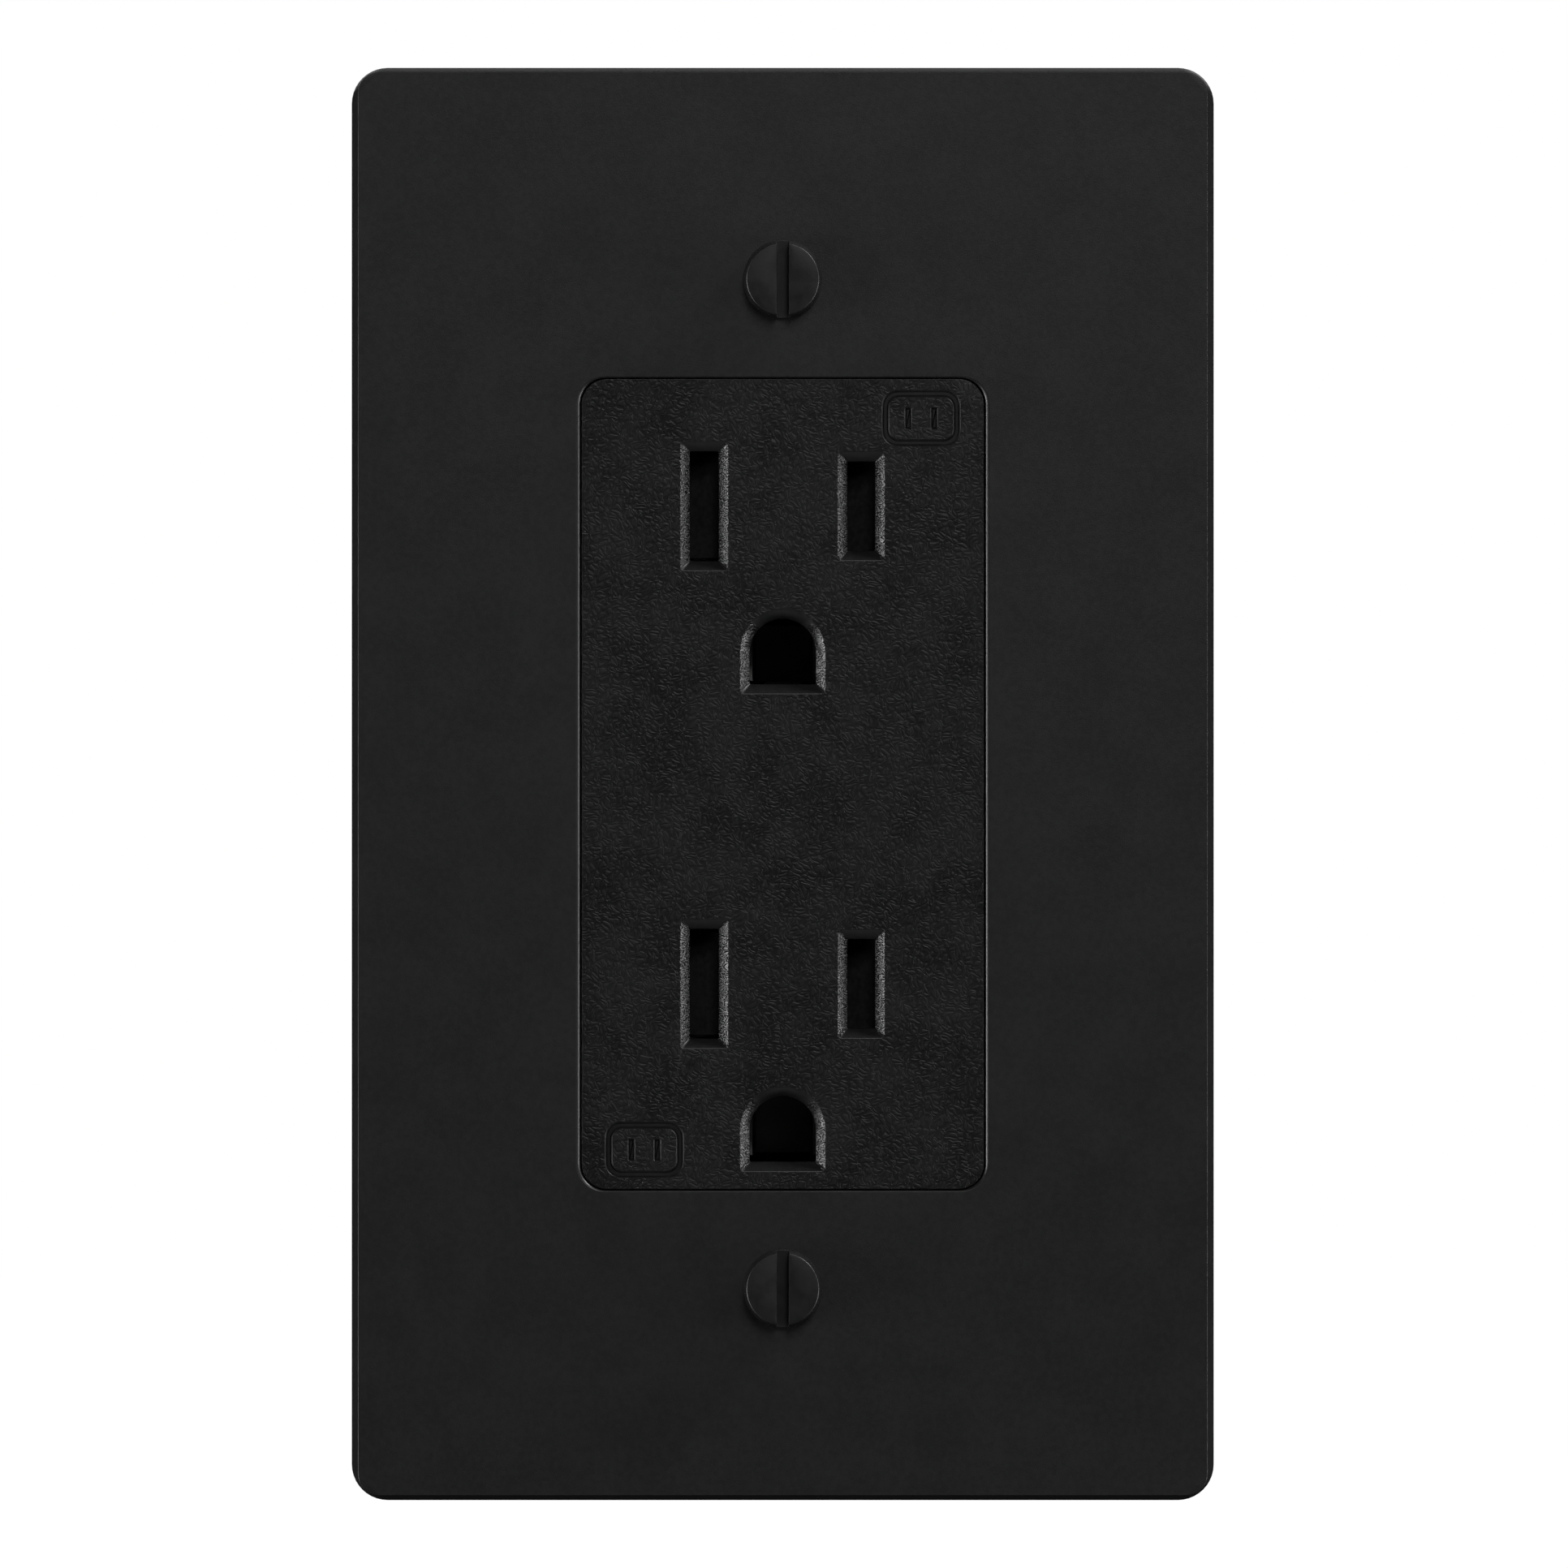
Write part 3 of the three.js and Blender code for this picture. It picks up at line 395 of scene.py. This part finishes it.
# ---------------------------------------------------------------- wall plate

PLATE_LOW, PLATE_HIGH = box_mm("wall_plate")
PLATE_FRONT, PLATE_BACK = PLATE_LOW.y, PLATE_HIGH.y
PLATE = {"wall": 2.4, "corner": 2.9, "edge": 0.03, "rim": 2.0, "rim_corner": 1.6}
# How far the sides lean in between the draft's depth and the front, and the corner radius there.
PLATE_DRAFT = {"side": 0.56, "top": 0.42, "bottom": 0.48, "corner": 1.7, "depth": 2.2}
# The rounded lip of the opening is narrower above and below than at its sides.
OPENING = {"width": 32.66, "height": 65.7, "corner": 2.1, "lip": 0.45, "end_lip": 0.16}
SCREW_Z = 40.83
SCREW_HOLE = {"radius": 2.1, "lip": 0.3}
# Ribs behind the plate: where they stand, their half lengths, and how far they reach into its wall.
RIB = {"half": 0.5, "x": 30.5, "half_height": 46, "z": 53.0, "half_width": 27, "back": -0.5, "into": 0.3}


def plate_outline(share, inset=0.0):
    """The plate's outline, leaning in by a share of its draft and then drawn in evenly."""
    lean = PLATE_DRAFT
    return rounded(
        PLATE_LOW.x + share * lean["side"] + inset,
        PLATE_HIGH.x - share * lean["side"] - inset,
        PLATE_LOW.z + share * lean["bottom"] + inset,
        PLATE_HIGH.z - share * lean["top"] - inset,
        PLATE["corner"] + share * (lean["corner"] - PLATE["corner"]),
    )


def rim_outline():
    rim = PLATE["rim"]
    return rounded(
        PLATE_LOW.x + rim,
        PLATE_HIGH.x - rim,
        PLATE_LOW.z + rim,
        PLATE_HIGH.z - rim,
        PLATE["rim_corner"],
    )


def opening_outline(grow):
    grow_ends = grow * OPENING["end_lip"] / OPENING["lip"]
    width, height = OPENING["width"] + 2 * grow, OPENING["height"] + 2 * grow_ends
    return centred(width, height, OPENING["corner"] + 0.5 * grow)


def wall_plate():
    """A hollow plate with a leaning edge, an opening, two screw holes and four ribs behind."""
    s = Shell()
    floor = PLATE_FRONT + PLATE["wall"]
    outer = [s.ring(plate_outline(1.0, i), PLATE_FRONT + d) for i, d in quarter(PLATE["edge"])]
    side = s.ring(plate_outline(0), PLATE_FRONT + PLATE_DRAFT["depth"])
    back = s.ring(plate_outline(0), PLATE_BACK)
    rim_inner = s.ring(rim_outline(), PLATE_BACK)
    inside = s.ring(rim_outline(), floor)
    s.walls(outer)
    # The leaning sides take slot 1, the copy of the plastic with painted shade.
    s.walls([outer[-1], side, back], 1)
    s.walls([back, rim_inner, inside])
    mouth = [s.ring(opening_outline(i), PLATE_FRONT + d) for i, d in quarter(OPENING["lip"], 5)]
    mouth_back = s.ring(opening_outline(0), floor)
    s.walls([*mouth, mouth_back])
    fronts, backs = [outer[0], mouth[0]], [inside, mouth_back]
    for z in (SCREW_Z, -SCREW_Z):
        radius = SCREW_HOLE["radius"]
        lip = quarter(SCREW_HOLE["lip"])
        hole = [s.ring(circle(radius + i, 0, z), PLATE_FRONT + d) for i, d in lip]
        hole_back = s.ring(circle(radius, 0, z), floor)
        s.walls([*hole, hole_back])
        fronts.append(hole[0])
        backs.append(hole_back)
    s.flat(fronts)
    s.flat(backs)
    half, depth = RIB["half"], (floor - RIB["into"], RIB["back"])
    for side in (1, -1):
        x, z = side * RIB["x"], side * RIB["z"]
        s.block((x - half, x + half), depth, (-RIB["half_height"], RIB["half_height"]))
        s.block((-RIB["half_width"], RIB["half_width"]), depth, (z - half, z + half))
    return s.finish("plate", [PLATE_BLACK, SHADED_SIDE_BLACK], "housing", "wall_plate")


# ---------------------------------------------------------------- receptacle face

FACE_FRONT = box_mm("receptacle_face")[0].y
FACE = {"width": 32.56, "height": 65.6, "corner": 2.05, "edge": 0.08, "wall": 2.15, "skirt_end": -1.0}
POCKET = {"width": 29.6, "height": 62.0, "corner": 1.2}
OUTLET_Z = (22.48, -16.18)  # the middles of the blade slots
BLADE_X = 6.35
NEUTRAL = (2.33, 8.88)  # width and height of the slots
HOT = (2.24, 7.23)
SLOT_CORNER = 0.12
# Half the hole's width, and how far its arch's centre and its floor lie below the blade slots' middle.
GROUND = {"half": 2.68, "arch": 11.78, "floor": 14.4, "corner": 0.15}
CORNER_GROWTH = 0.25  # how much a hole's corner radius grows for each millimetre that the hole does
CHAMFER = 0.76
CHAMFER_LIP = 0.06  # how far the two edges of a chamfer are broken
# The tabs behind the plate that hold the face: a stem on the skirt and a foot that stands out from
# it. Their depths and half lengths, and how far from the middle each begins and ends.
TAB = {"stem": (-1.6, 1.4), "foot": (-0.4, 1.4), "side_half": 27.9, "end_half": 13.9}
SIDE_STEM, SIDE_FOOT = (14.8, 16.5), (14.9, 19.4)
END_STEM, END_FOOT = (31.0, 32.85), (31.1, 33.7)
SIGN = {
    "x": 11.2,
    "z": 29.6,
    "width": 6.4,
    "height": 4.6,
    "corner": 1.3,
    "inner_corner": 0.8,
    "line": 0.62,
    "bar_x": 1.05,
    "bar_height": 1.8,
    "bar_corner": 0.14,
    "depth": 0.26,
    "slope": 0.2,
}


def slot_outline(x, z, size, grow):
    width, height = size[0] + 2 * grow, size[1] + 2 * grow
    return centred(width, height, SLOT_CORNER + CORNER_GROWTH * grow, x, z, SMALL_ARC)


def ground_outline(z, grow, steps=24):
    """The ground pin's hole: flat below and round above, grown all round."""
    half, radius = GROUND["half"] + grow, GROUND["corner"] + CORNER_GROWTH * grow
    low, middle = z - GROUND["floor"] - grow, z - GROUND["arch"]
    points = []
    for cx, start in ((-half + radius, 180), (half - radius, 270)):
        for k in range(SMALL_ARC + 1):
            a = math.radians(start + 90 * k / SMALL_ARC)
            points.append((cx + radius * math.cos(a), low + radius + radius * math.sin(a)))
    for k in range(steps + 1):
        a = math.pi * k / steps
        points.append((half * math.cos(a), middle + half * math.sin(a)))
    return points


def side_or_end(face):
    """Coarsely grained where a chamfer faces sideways, smooth where it faces up or down."""
    face.normal_update()
    return 2 if abs(face.normal.x) > abs(face.normal.z) else 1


def hole_through(s, outline, front, back):
    """A hole with a 45 degree flare and broken edges. Returns its two end rings."""
    lip = CHAMFER_LIP
    rings = [
        s.ring(outline(CHAMFER + lip), front),
        s.ring(outline(CHAMFER - 0.3 * lip), front + 0.7 * lip),
        s.ring(outline(0.5 * lip), front + CHAMFER - 0.5 * lip),
        s.ring(outline(0), front + CHAMFER + 0.7 * lip),
        s.ring(outline(0), back),
    ]
    s.walls(rings[:3], side_or_end)
    s.walls(rings[2:], 1)
    return rings[0], rings[-1]


def engraved(s, outline, inward, front):
    """An engraved line's sloping side. Returns its ring on the face and its ring on the floor."""
    top = s.ring(outline(0), front)
    floor = s.ring(outline(inward * SIGN["slope"]), front + SIGN["depth"])
    s.wall(top, floor, 1)
    return top, floor


def shuttered_sign(s, side, front):
    """A rounded frame round two short bars, engraved. Returns the ring that bounds it."""
    x, z, line = side * SIGN["x"], side * SIGN["z"], SIGN["line"]
    width, height = SIGN["width"], SIGN["height"]

    def outside(d):
        return centred(width - 2 * d, height - 2 * d, SIGN["corner"] - d, x, z, steps=6)

    def inside(d):
        radius = SIGN["inner_corner"] - d
        return centred(width - 2 * line - 2 * d, height - 2 * line - 2 * d, radius, x, z, steps=6)

    outer, outer_floor = engraved(s, outside, 1, front)
    inner, inner_floor = engraved(s, inside, -1, front)
    s.flat([outer_floor, inner_floor], 1)
    island = [inner]
    for bar_x in (x - SIGN["bar_x"], x + SIGN["bar_x"]):

        def bar(d):
            radius = SIGN["bar_corner"] - d
            return centred(line - 2 * d, SIGN["bar_height"] - 2 * d, radius, bar_x, z, SMALL_ARC)

        top, floor = engraved(s, bar, 1, front)
        s.cap(floor, 1)
        island.append(top)
    s.flat(island)
    return outer


def receptacle_face():
    """The moulding with two outlets, hollow behind, and the tabs that hold it."""
    s = Shell()
    front, wall_back, skirt = FACE_FRONT, FACE_FRONT + FACE["wall"], FACE["skirt_end"]

    def outline(inset):
        width, height = FACE["width"] - 2 * inset, FACE["height"] - 2 * inset
        return centred(width, height, FACE["corner"] - 0.5 * inset)

    def pocket():
        return centred(POCKET["width"], POCKET["height"], POCKET["corner"])

    outer = [s.ring(outline(i), front + d) for i, d in quarter(FACE["edge"])]
    outer_back = s.ring(outline(0), skirt)
    pocket_rim = s.ring(pocket(), skirt)
    pocket_floor = s.ring(pocket(), wall_back)
    s.walls([*outer, outer_back, pocket_rim, pocket_floor])
    fronts, backs = [outer[0]], [pocket_floor]
    for z in OUTLET_Z:
        holes = [
            lambda grow: slot_outline(-BLADE_X, z, NEUTRAL, grow),
            lambda grow: slot_outline(BLADE_X, z, HOT, grow),
            lambda grow: ground_outline(z, grow),
        ]
        for hole in holes:
            mouth, end = hole_through(s, hole, front, wall_back)
            fronts.append(mouth)
            backs.append(end)
    for side in (1, -1):
        fronts.append(shuttered_sign(s, side, front))
    s.flat(fronts)
    s.flat(backs, 1)
    along_side = (-TAB["side_half"], TAB["side_half"])
    along_end = (-TAB["end_half"], TAB["end_half"])
    for side in (1, -1):
        s.block([side * x for x in SIDE_STEM], TAB["stem"], along_side, slot=1)
        s.block([side * x for x in SIDE_FOOT], TAB["foot"], along_side, slot=1)
        s.block(along_end, TAB["stem"], [side * z for z in END_STEM], slot=1)
        s.block(along_end, TAB["foot"], [side * z for z in END_FOOT], slot=1)
    materials = [FACE_BLACK, SMOOTH_BLACK, MOUTH_BLACK]
    return s.finish("face", materials, "housing", "receptacle_face")


# ---------------------------------------------------------------- long screws

# Radii and depths of the head and its neck, the driver slot, and the tip of the shank.
SCREW = {
    "head": 3.2,
    "draft": 0.25,
    "top": -7.25,
    "under": -5.7,
    "edge": 0.11,
    "back_edge": 0.06,
    "neck": 1.74,
    "neck_end": -3.2,
    "slot": 0.98,
    "slot_depth": 1.15,
    "slot_edge": 0.05,
    "side_band": 0.3,
    "tip": 26.15,
}
HEAD_STEPS = 96
CUT_PAST = {"front": 1.0, "side": 1.8}  # how far the slot's cutting box reaches past the head
# Radii and pitch, where the thread starts, how far the tip is drawn in, and the helix's points:
# steps to a turn, and the thread's height at each of the rows of points in one pitch.
THREAD = {"major": 1.72, "minor": 1.36, "pitch": 0.79375, "start": -3.4, "tip_inset": 0.45, "turn": 32}
THREAD_PROFILE = (0.0, 0.0, 0.55, 1.0, 1.0, 0.55)


def turned(bm, profile, steps, z):
    """A body of revolution about an axis along Y from [radius, y] points that start and end on it."""
    first = bm.verts.new((0, profile[0][1], z))
    last = bm.verts.new((0, profile[-1][1], z))
    rings = []
    for radius, y in profile[1:-1]:
        rings.append([bm.verts.new((px, y, pz)) for px, pz in circle(radius, 0, z, steps)])
    for i in range(steps):
        j = (i + 1) % steps
        bm.faces.new((first, rings[0][i], rings[0][j]))
        bm.faces.new((last, rings[-1][j], rings[-1][i]))
        for a, b in zip(rings, rings[1:]):
            bm.faces.new((a[i], b[i], b[j], a[j]))


def thread_radius(row, y):
    """The thread's radius at a row of the helix, run out at the neck and cut back to the tip's cone."""
    share = THREAD_PROFILE[row % len(THREAD_PROFILE)]
    fade = min(1.0, max(0.0, (y - THREAD["start"]) / THREAD["pitch"]))
    radius = THREAD["minor"] + fade * share * (THREAD["major"] - THREAD["minor"])
    cone = THREAD["minor"] - THREAD["tip_inset"] + max(0.0, SCREW["tip"] - y)
    return min(radius, cone)


def threaded_shank(bm, z):
    """Rows of points that climb with the helix. Those past either end are held at that end."""
    steps, rows, pitch = THREAD["turn"], len(THREAD_PROFILE), THREAD["pitch"]
    start, tip = THREAD["start"], SCREW["tip"]
    count = int((tip - start) / pitch * rows) + 2 * rows
    grid = []
    for j in range(count):
        line = []
        for i in range(steps + 1):
            y = start + (j / rows - 1 + i / steps) * pitch
            y = min(tip, max(start, y))
            radius = thread_radius(j, y)
            a = 2 * math.pi * i / steps
            line.append(bm.verts.new((radius * math.cos(a), y, z + radius * math.sin(a))))
        grid.append(line)
    for a, b in zip(grid, grid[1:]):
        for i in range(steps):
            bm.faces.new((a[i], a[i + 1], b[i + 1], b[i]))


def with_slot(mesh, low, high, name):
    """Cuts a driver slot through a screw head, as the box between two corners, and breaks its edges."""
    head = bpy.data.objects.new(name, mesh)
    bpy.context.scene.collection.objects.link(head)
    bm = bmesh.new()
    made = bmesh.ops.create_cube(bm, size=1)
    for vert in made["verts"]:
        vert.co = Vector([lo + (c + 0.5) * (hi - lo) for c, lo, hi in zip(vert.co, low, high)])
    cutter = bpy.data.objects.new(name + "_cutter", mesh_from(bm, name + "_cutter"))
    bpy.context.scene.collection.objects.link(cutter)
    cut = head.modifiers.new("slot", "BOOLEAN")
    cut.operation, cut.solver, cut.object = "DIFFERENCE", "EXACT", cutter
    bevel = head.modifiers.new("edge", "BEVEL")
    bevel.width, bevel.segments = SCREW["slot_edge"], 2
    bevel.limit_method, bevel.angle_limit = "ANGLE", math.radians(40)
    bpy.context.view_layer.update()
    result = bpy.data.meshes.new_from_object(head.evaluated_get(bpy.context.evaluated_depsgraph_get()))
    bpy.data.objects.remove(head)
    bpy.data.objects.remove(cutter)
    return result


def screw_head(place, z):
    """A cheese head on its plain neck, slotted."""
    top, under, neck_end = SCREW["top"], SCREW["under"], SCREW["neck_end"]
    rim = [(SCREW["head"] - SCREW["draft"] - i, top + d) for i, d in quarter(SCREW["edge"], 4)]
    profile = [
        (0, top),
        *rim,
        (SCREW["head"], under - SCREW["back_edge"]),
        (SCREW["head"] - SCREW["back_edge"], under),
        (SCREW["neck"], under),
        (SCREW["neck"], neck_end),
        (0, neck_end),
    ]
    bm = bmesh.new()
    turned(bm, profile, HEAD_STEPS, z)
    half, past = SCREW["slot"] / 2, SCREW["head"] + CUT_PAST["side"]
    low = (-half, top - CUT_PAST["front"], z - past)
    high = (half, top + SCREW["slot_depth"], z + past)
    return with_slot(mesh_from(bm, "head"), low, high, f"{place}_head")


def long_screw(place, z):
    bm = bmesh.new()
    bm.from_mesh(screw_head(place, z))
    for face in bm.faces:
        middle = face.calc_center_median()
        outside = math.hypot(middle.x, middle.z - z) > SCREW["head"] - SCREW["side_band"]
        face.material_index = 1 if outside and abs(face.normal.y) < 0.5 else 0
    threaded_shank(bm, z)
    materials, body = [SCREW_BLACK, SCREW_SIDE], f"{place}_screw"
    return Shell(bm).finish(
        f"{place}_long_screw", materials, body, f"{place}_mounting_screw"
    )


# ---------------------------------------------------------------- shutter springs

# The coil lies below its outlet's slots. Its ends, and the radii of the coil and of its wire, which
# makes a closed turn at each end.
SPRING = {"y": -1.55, "drop": -7.15, "coil": 1.075, "wire": 0.175, "left": -5.9, "right": 3.9, "turns": 9}
CLOSED_PITCH = 2.2 * SPRING["wire"]
SPRING_STEPS, WIRE_SIDES = 20, 8  # steps to a turn of the coil, sides of the wire


def coil_x(t, left, right):
    """How far along the spring its wire is after t turns. The first and last turns are closed."""
    turns = SPRING["turns"]
    if t < 1:
        return left + t * CLOSED_PITCH
    if t > turns - 1:
        return right - (turns - t) * CLOSED_PITCH
    return left + CLOSED_PITCH + (right - left - 2 * CLOSED_PITCH) * (t - 1) / (turns - 2)


def shutter_spring(place, outlet_z):
    """A wire swept along a helix. The real spring shortens as its shutter slides; this one keeps its
    length.
    """
    s = Shell()
    wire, turns = SPRING["wire"], SPRING["turns"]
    left, right = SPRING["left"] + wire, SPRING["right"] - wire
    steps = turns * SPRING_STEPS
    rings = []
    for k in range(steps + 1):
        t = turns * k / steps
        a = 2 * math.pi * t
        out = Vector((0, math.cos(a), math.sin(a)))
        middle = Vector((coil_x(t, left, right), SPRING["y"], outlet_z + SPRING["drop"]))
        middle = middle + SPRING["coil"] * out
        ring = []
        for i in range(WIRE_SIDES):
            b = 2 * math.pi * i / WIRE_SIDES
            spoke = math.cos(b) * out + math.sin(b) * Vector((1, 0, 0))
            ring.append(s.bm.verts.new(middle + wire * spoke))
        rings.append(ring)
    s.walls(rings)
    s.cap(rings[0])
    s.cap(rings[-1])
    piece = s.finish(
        f"{place}_spring", [SPRING_WIRE], "housing", f"{place}_shutter_spring"
    )
    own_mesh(piece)
    return piece


# ---------------------------------------------------------------- CAD nodes that keep their shape

WELD = 0.002  # points closer than this are one point
FLAT_ANGLE = math.radians(1.5)  # faces that turn by less than this are one face
BROKEN_ANGLE = math.radians(35)  # edges that turn by more than this are broken

# Material and width of the broken edges, by a node's name or by its name after the first word.
LOOKS = {
    "front_housing": (HOUSING_BLACK, 0.2),
    "rear_housing": (HOUSING_BLACK, 0.2),
    "rear_cover": (COVER_GREY, 0.2),
    "hot_bus": (BRASS, 0.06),
    "neutral_bus": (NICKEL, 0.06),
    "ground_bus": (NICKEL, 0.06),
    "shutter_platform": (SHUTTER_BLACK, 0.08),
    "shutter_slider": (SLIDER_BLACK, 0.08),
    "hot_contact": (BRASS, 0.05),
    "neutral_contact": (NICKEL, 0.05),
    "ground_contact": (DULL_NICKEL, 0.05),
    "screw_retainer": (FIBRE, 0.05),
    "clamp_bush": (BRASS, 0.12),
    "clamp_wing": (ZINC, 0.25),
    "cable_clamp": (COVER_GREY, 0.2),
}
SMALL_SCREW = (ZINC, 0.12)


def look_of(node):
    """The small assembly screws are the nodes that the table doesn't name."""
    bare = node.split("_", 1)[1]
    return LOOKS.get(node) or LOOKS.get(bare) or SMALL_SCREW


def dress(node, material, edge):
    """Gives a CAD node its material, and breaks its edges as moulding or stamping does."""
    piece = NODES[node]
    piece.data.materials.clear()
    piece.data.materials.append(material)
    for polygon in piece.data.polygons:
        polygon.use_smooth = True
    weld = piece.modifiers.new("weld", "WELD")
    weld.merge_threshold = WELD * MM
    planar = piece.modifiers.new("planar", "DECIMATE")
    planar.decimate_type, planar.angle_limit = "DISSOLVE", FLAT_ANGLE
    bevel = piece.modifiers.new("edges", "BEVEL")
    bevel.width, bevel.segments, bevel.limit_method = edge * MM, 2, "ANGLE"
    bevel.angle_limit, bevel.use_clamp_overlap = BROKEN_ANGLE, True
    weight_normals(piece)


# ---------------------------------------------------------------- studio, in metres and watts

FLOOR = {"z": -0.16, "size": 9.0, "corner": 0.6, "glow": 1.0}
FLOOR_SHADE = (0.8, 0.8, 0.79)
BACKDROP, ROOM = 1.0, 0.006  # the world's level as the camera sees it, and as the object does
CAMERA_DISTANCE = 1.5
CAMERA_X = 0.0001
FRAME_WIDTH = 0.12688  # the width that the picture spans at the plate's front
SENSOR = 36.0  # millimetres

ORIGIN = Vector((0, 0, 0))
# Place, size and power of each light. They all face the origin.
LIGHTS = {
    "right_softbox": ((1.0, -0.1, -0.2), (0.5, 0.5), 10.5),
    "left_softbox": ((-1.0, -0.1, -0.17), (0.5, 0.5), 14.5),
    "front_softbox": ((0.22, -1.15, 0.54), (0.4, 0.25), 2.0),
    "high_softbox": ((0.22, -1.0, 0.80), (0.35, 0.2), 3.0),
    "upper_right": ((0.72, -0.1, 0.7), (0.16, 0.16), 7.6),
    "low_fill": ((0.0, -0.1, -1.0), (0.8, 0.5), 0.5),
    "top_glint": ((0.0, 1.2, 0.3), (0.8, 0.2), 0.25),
    "left_fill": ((-0.85, -1.1, -0.45), (0.9, 0.6), 0.4),
    "right_fill": ((0.85, -1.1, -0.45), (0.9, 0.6), 0.4),
    "back_fill": ((0.8, 0.9, 1.1), (0.8, 0.8), 14),
}


def floor():
    """A pale floor as bright as the backdrop, kept out of the object's light and reflections."""
    outline = centred(FLOOR["size"], FLOOR["size"], FLOOR["corner"])
    mesh = bpy.data.meshes.new("studio_floor")
    mesh.from_pydata([(x, y, FLOOR["z"]) for x, y in outline], [], [range(len(outline))])
    f = Finish("pale_floor", FLOOR_SHADE, 0.7)
    f.tint(f.noise(per_mm=0.004, detail=2.0).outputs["Fac"], dark=0.985, light=1.01)
    f.shader.inputs["Emission Color"].default_value = (1, 1, 1, 1)
    f.shader.inputs["Emission Strength"].default_value = FLOOR["glow"]
    mesh.materials.append(f.material)
    piece = bpy.data.objects.new("studio_floor", mesh)
    piece.visible_diffuse = piece.visible_glossy = piece.visible_shadow = False
    bpy.context.scene.collection.objects.link(piece)


def soft_light(name, place, size, power):
    data = bpy.data.lights.new(name, "AREA")
    data.shape, data.size, data.size_y, data.energy = "RECTANGLE", size[0], size[1], power
    light = bpy.data.objects.new(name, data)
    light.location = place
    light.rotation_euler = (ORIGIN - Vector(place)).to_track_quat("-Z", "Y").to_euler()
    light.visible_camera = False
    bpy.context.scene.collection.objects.link(light)


def world():
    """White behind the object as the camera sees it, and a dim room round it."""
    scene_world = bpy.data.worlds.new("studio")
    scene_world.use_nodes = True
    tree = scene_world.node_tree
    seen = tree.nodes["Background"]
    seen.inputs["Color"].default_value = (BACKDROP, BACKDROP, BACKDROP, 1)
    room = tree.nodes.new("ShaderNodeBackground")
    room.inputs["Color"].default_value = (ROOM, ROOM, ROOM, 1)
    pick = tree.nodes.new("ShaderNodeMixShader")
    path = tree.nodes.new("ShaderNodeLightPath")
    tree.links.new(path.outputs["Is Camera Ray"], pick.inputs[0])
    tree.links.new(room.outputs[0], pick.inputs[1])
    tree.links.new(seen.outputs[0], pick.inputs[2])
    tree.links.new(pick.outputs[0], tree.nodes["World Output"].inputs["Surface"])
    bpy.context.scene.world = scene_world


def camera():
    """Straight in front of the plate."""
    data = bpy.data.cameras.new("camera")
    data.sensor_width = SENSOR
    data.lens = SENSOR * CAMERA_DISTANCE / FRAME_WIDTH
    data.clip_start, data.clip_end = 0.05, 20
    view = bpy.data.objects.new("camera", data)
    view.location = (CAMERA_X, PLATE_FRONT * MM - CAMERA_DISTANCE, 0)
    view.rotation_euler = (math.radians(90), 0, 0)
    bpy.context.scene.collection.objects.link(view)
    bpy.context.scene.camera = view


# ---------------------------------------------------------------- the assembly

PLACES = ("upper", "lower")

wall_plate()
receptacle_face()
for place, z in zip(PLACES, (SCREW_Z, -SCREW_Z)):
    long_screw(place, z)
for place, z in zip(PLACES, OUTLET_Z):
    shutter_spring(place, z)
for node in sorted(NODES):
    if not NODES[node].hide_render:
        dress(node, *look_of(node))

floor()
world()
for name, light in LIGHTS.items():
    soft_light(name, *light)
camera()
bpy.context.scene.view_settings.view_transform = "Standard"
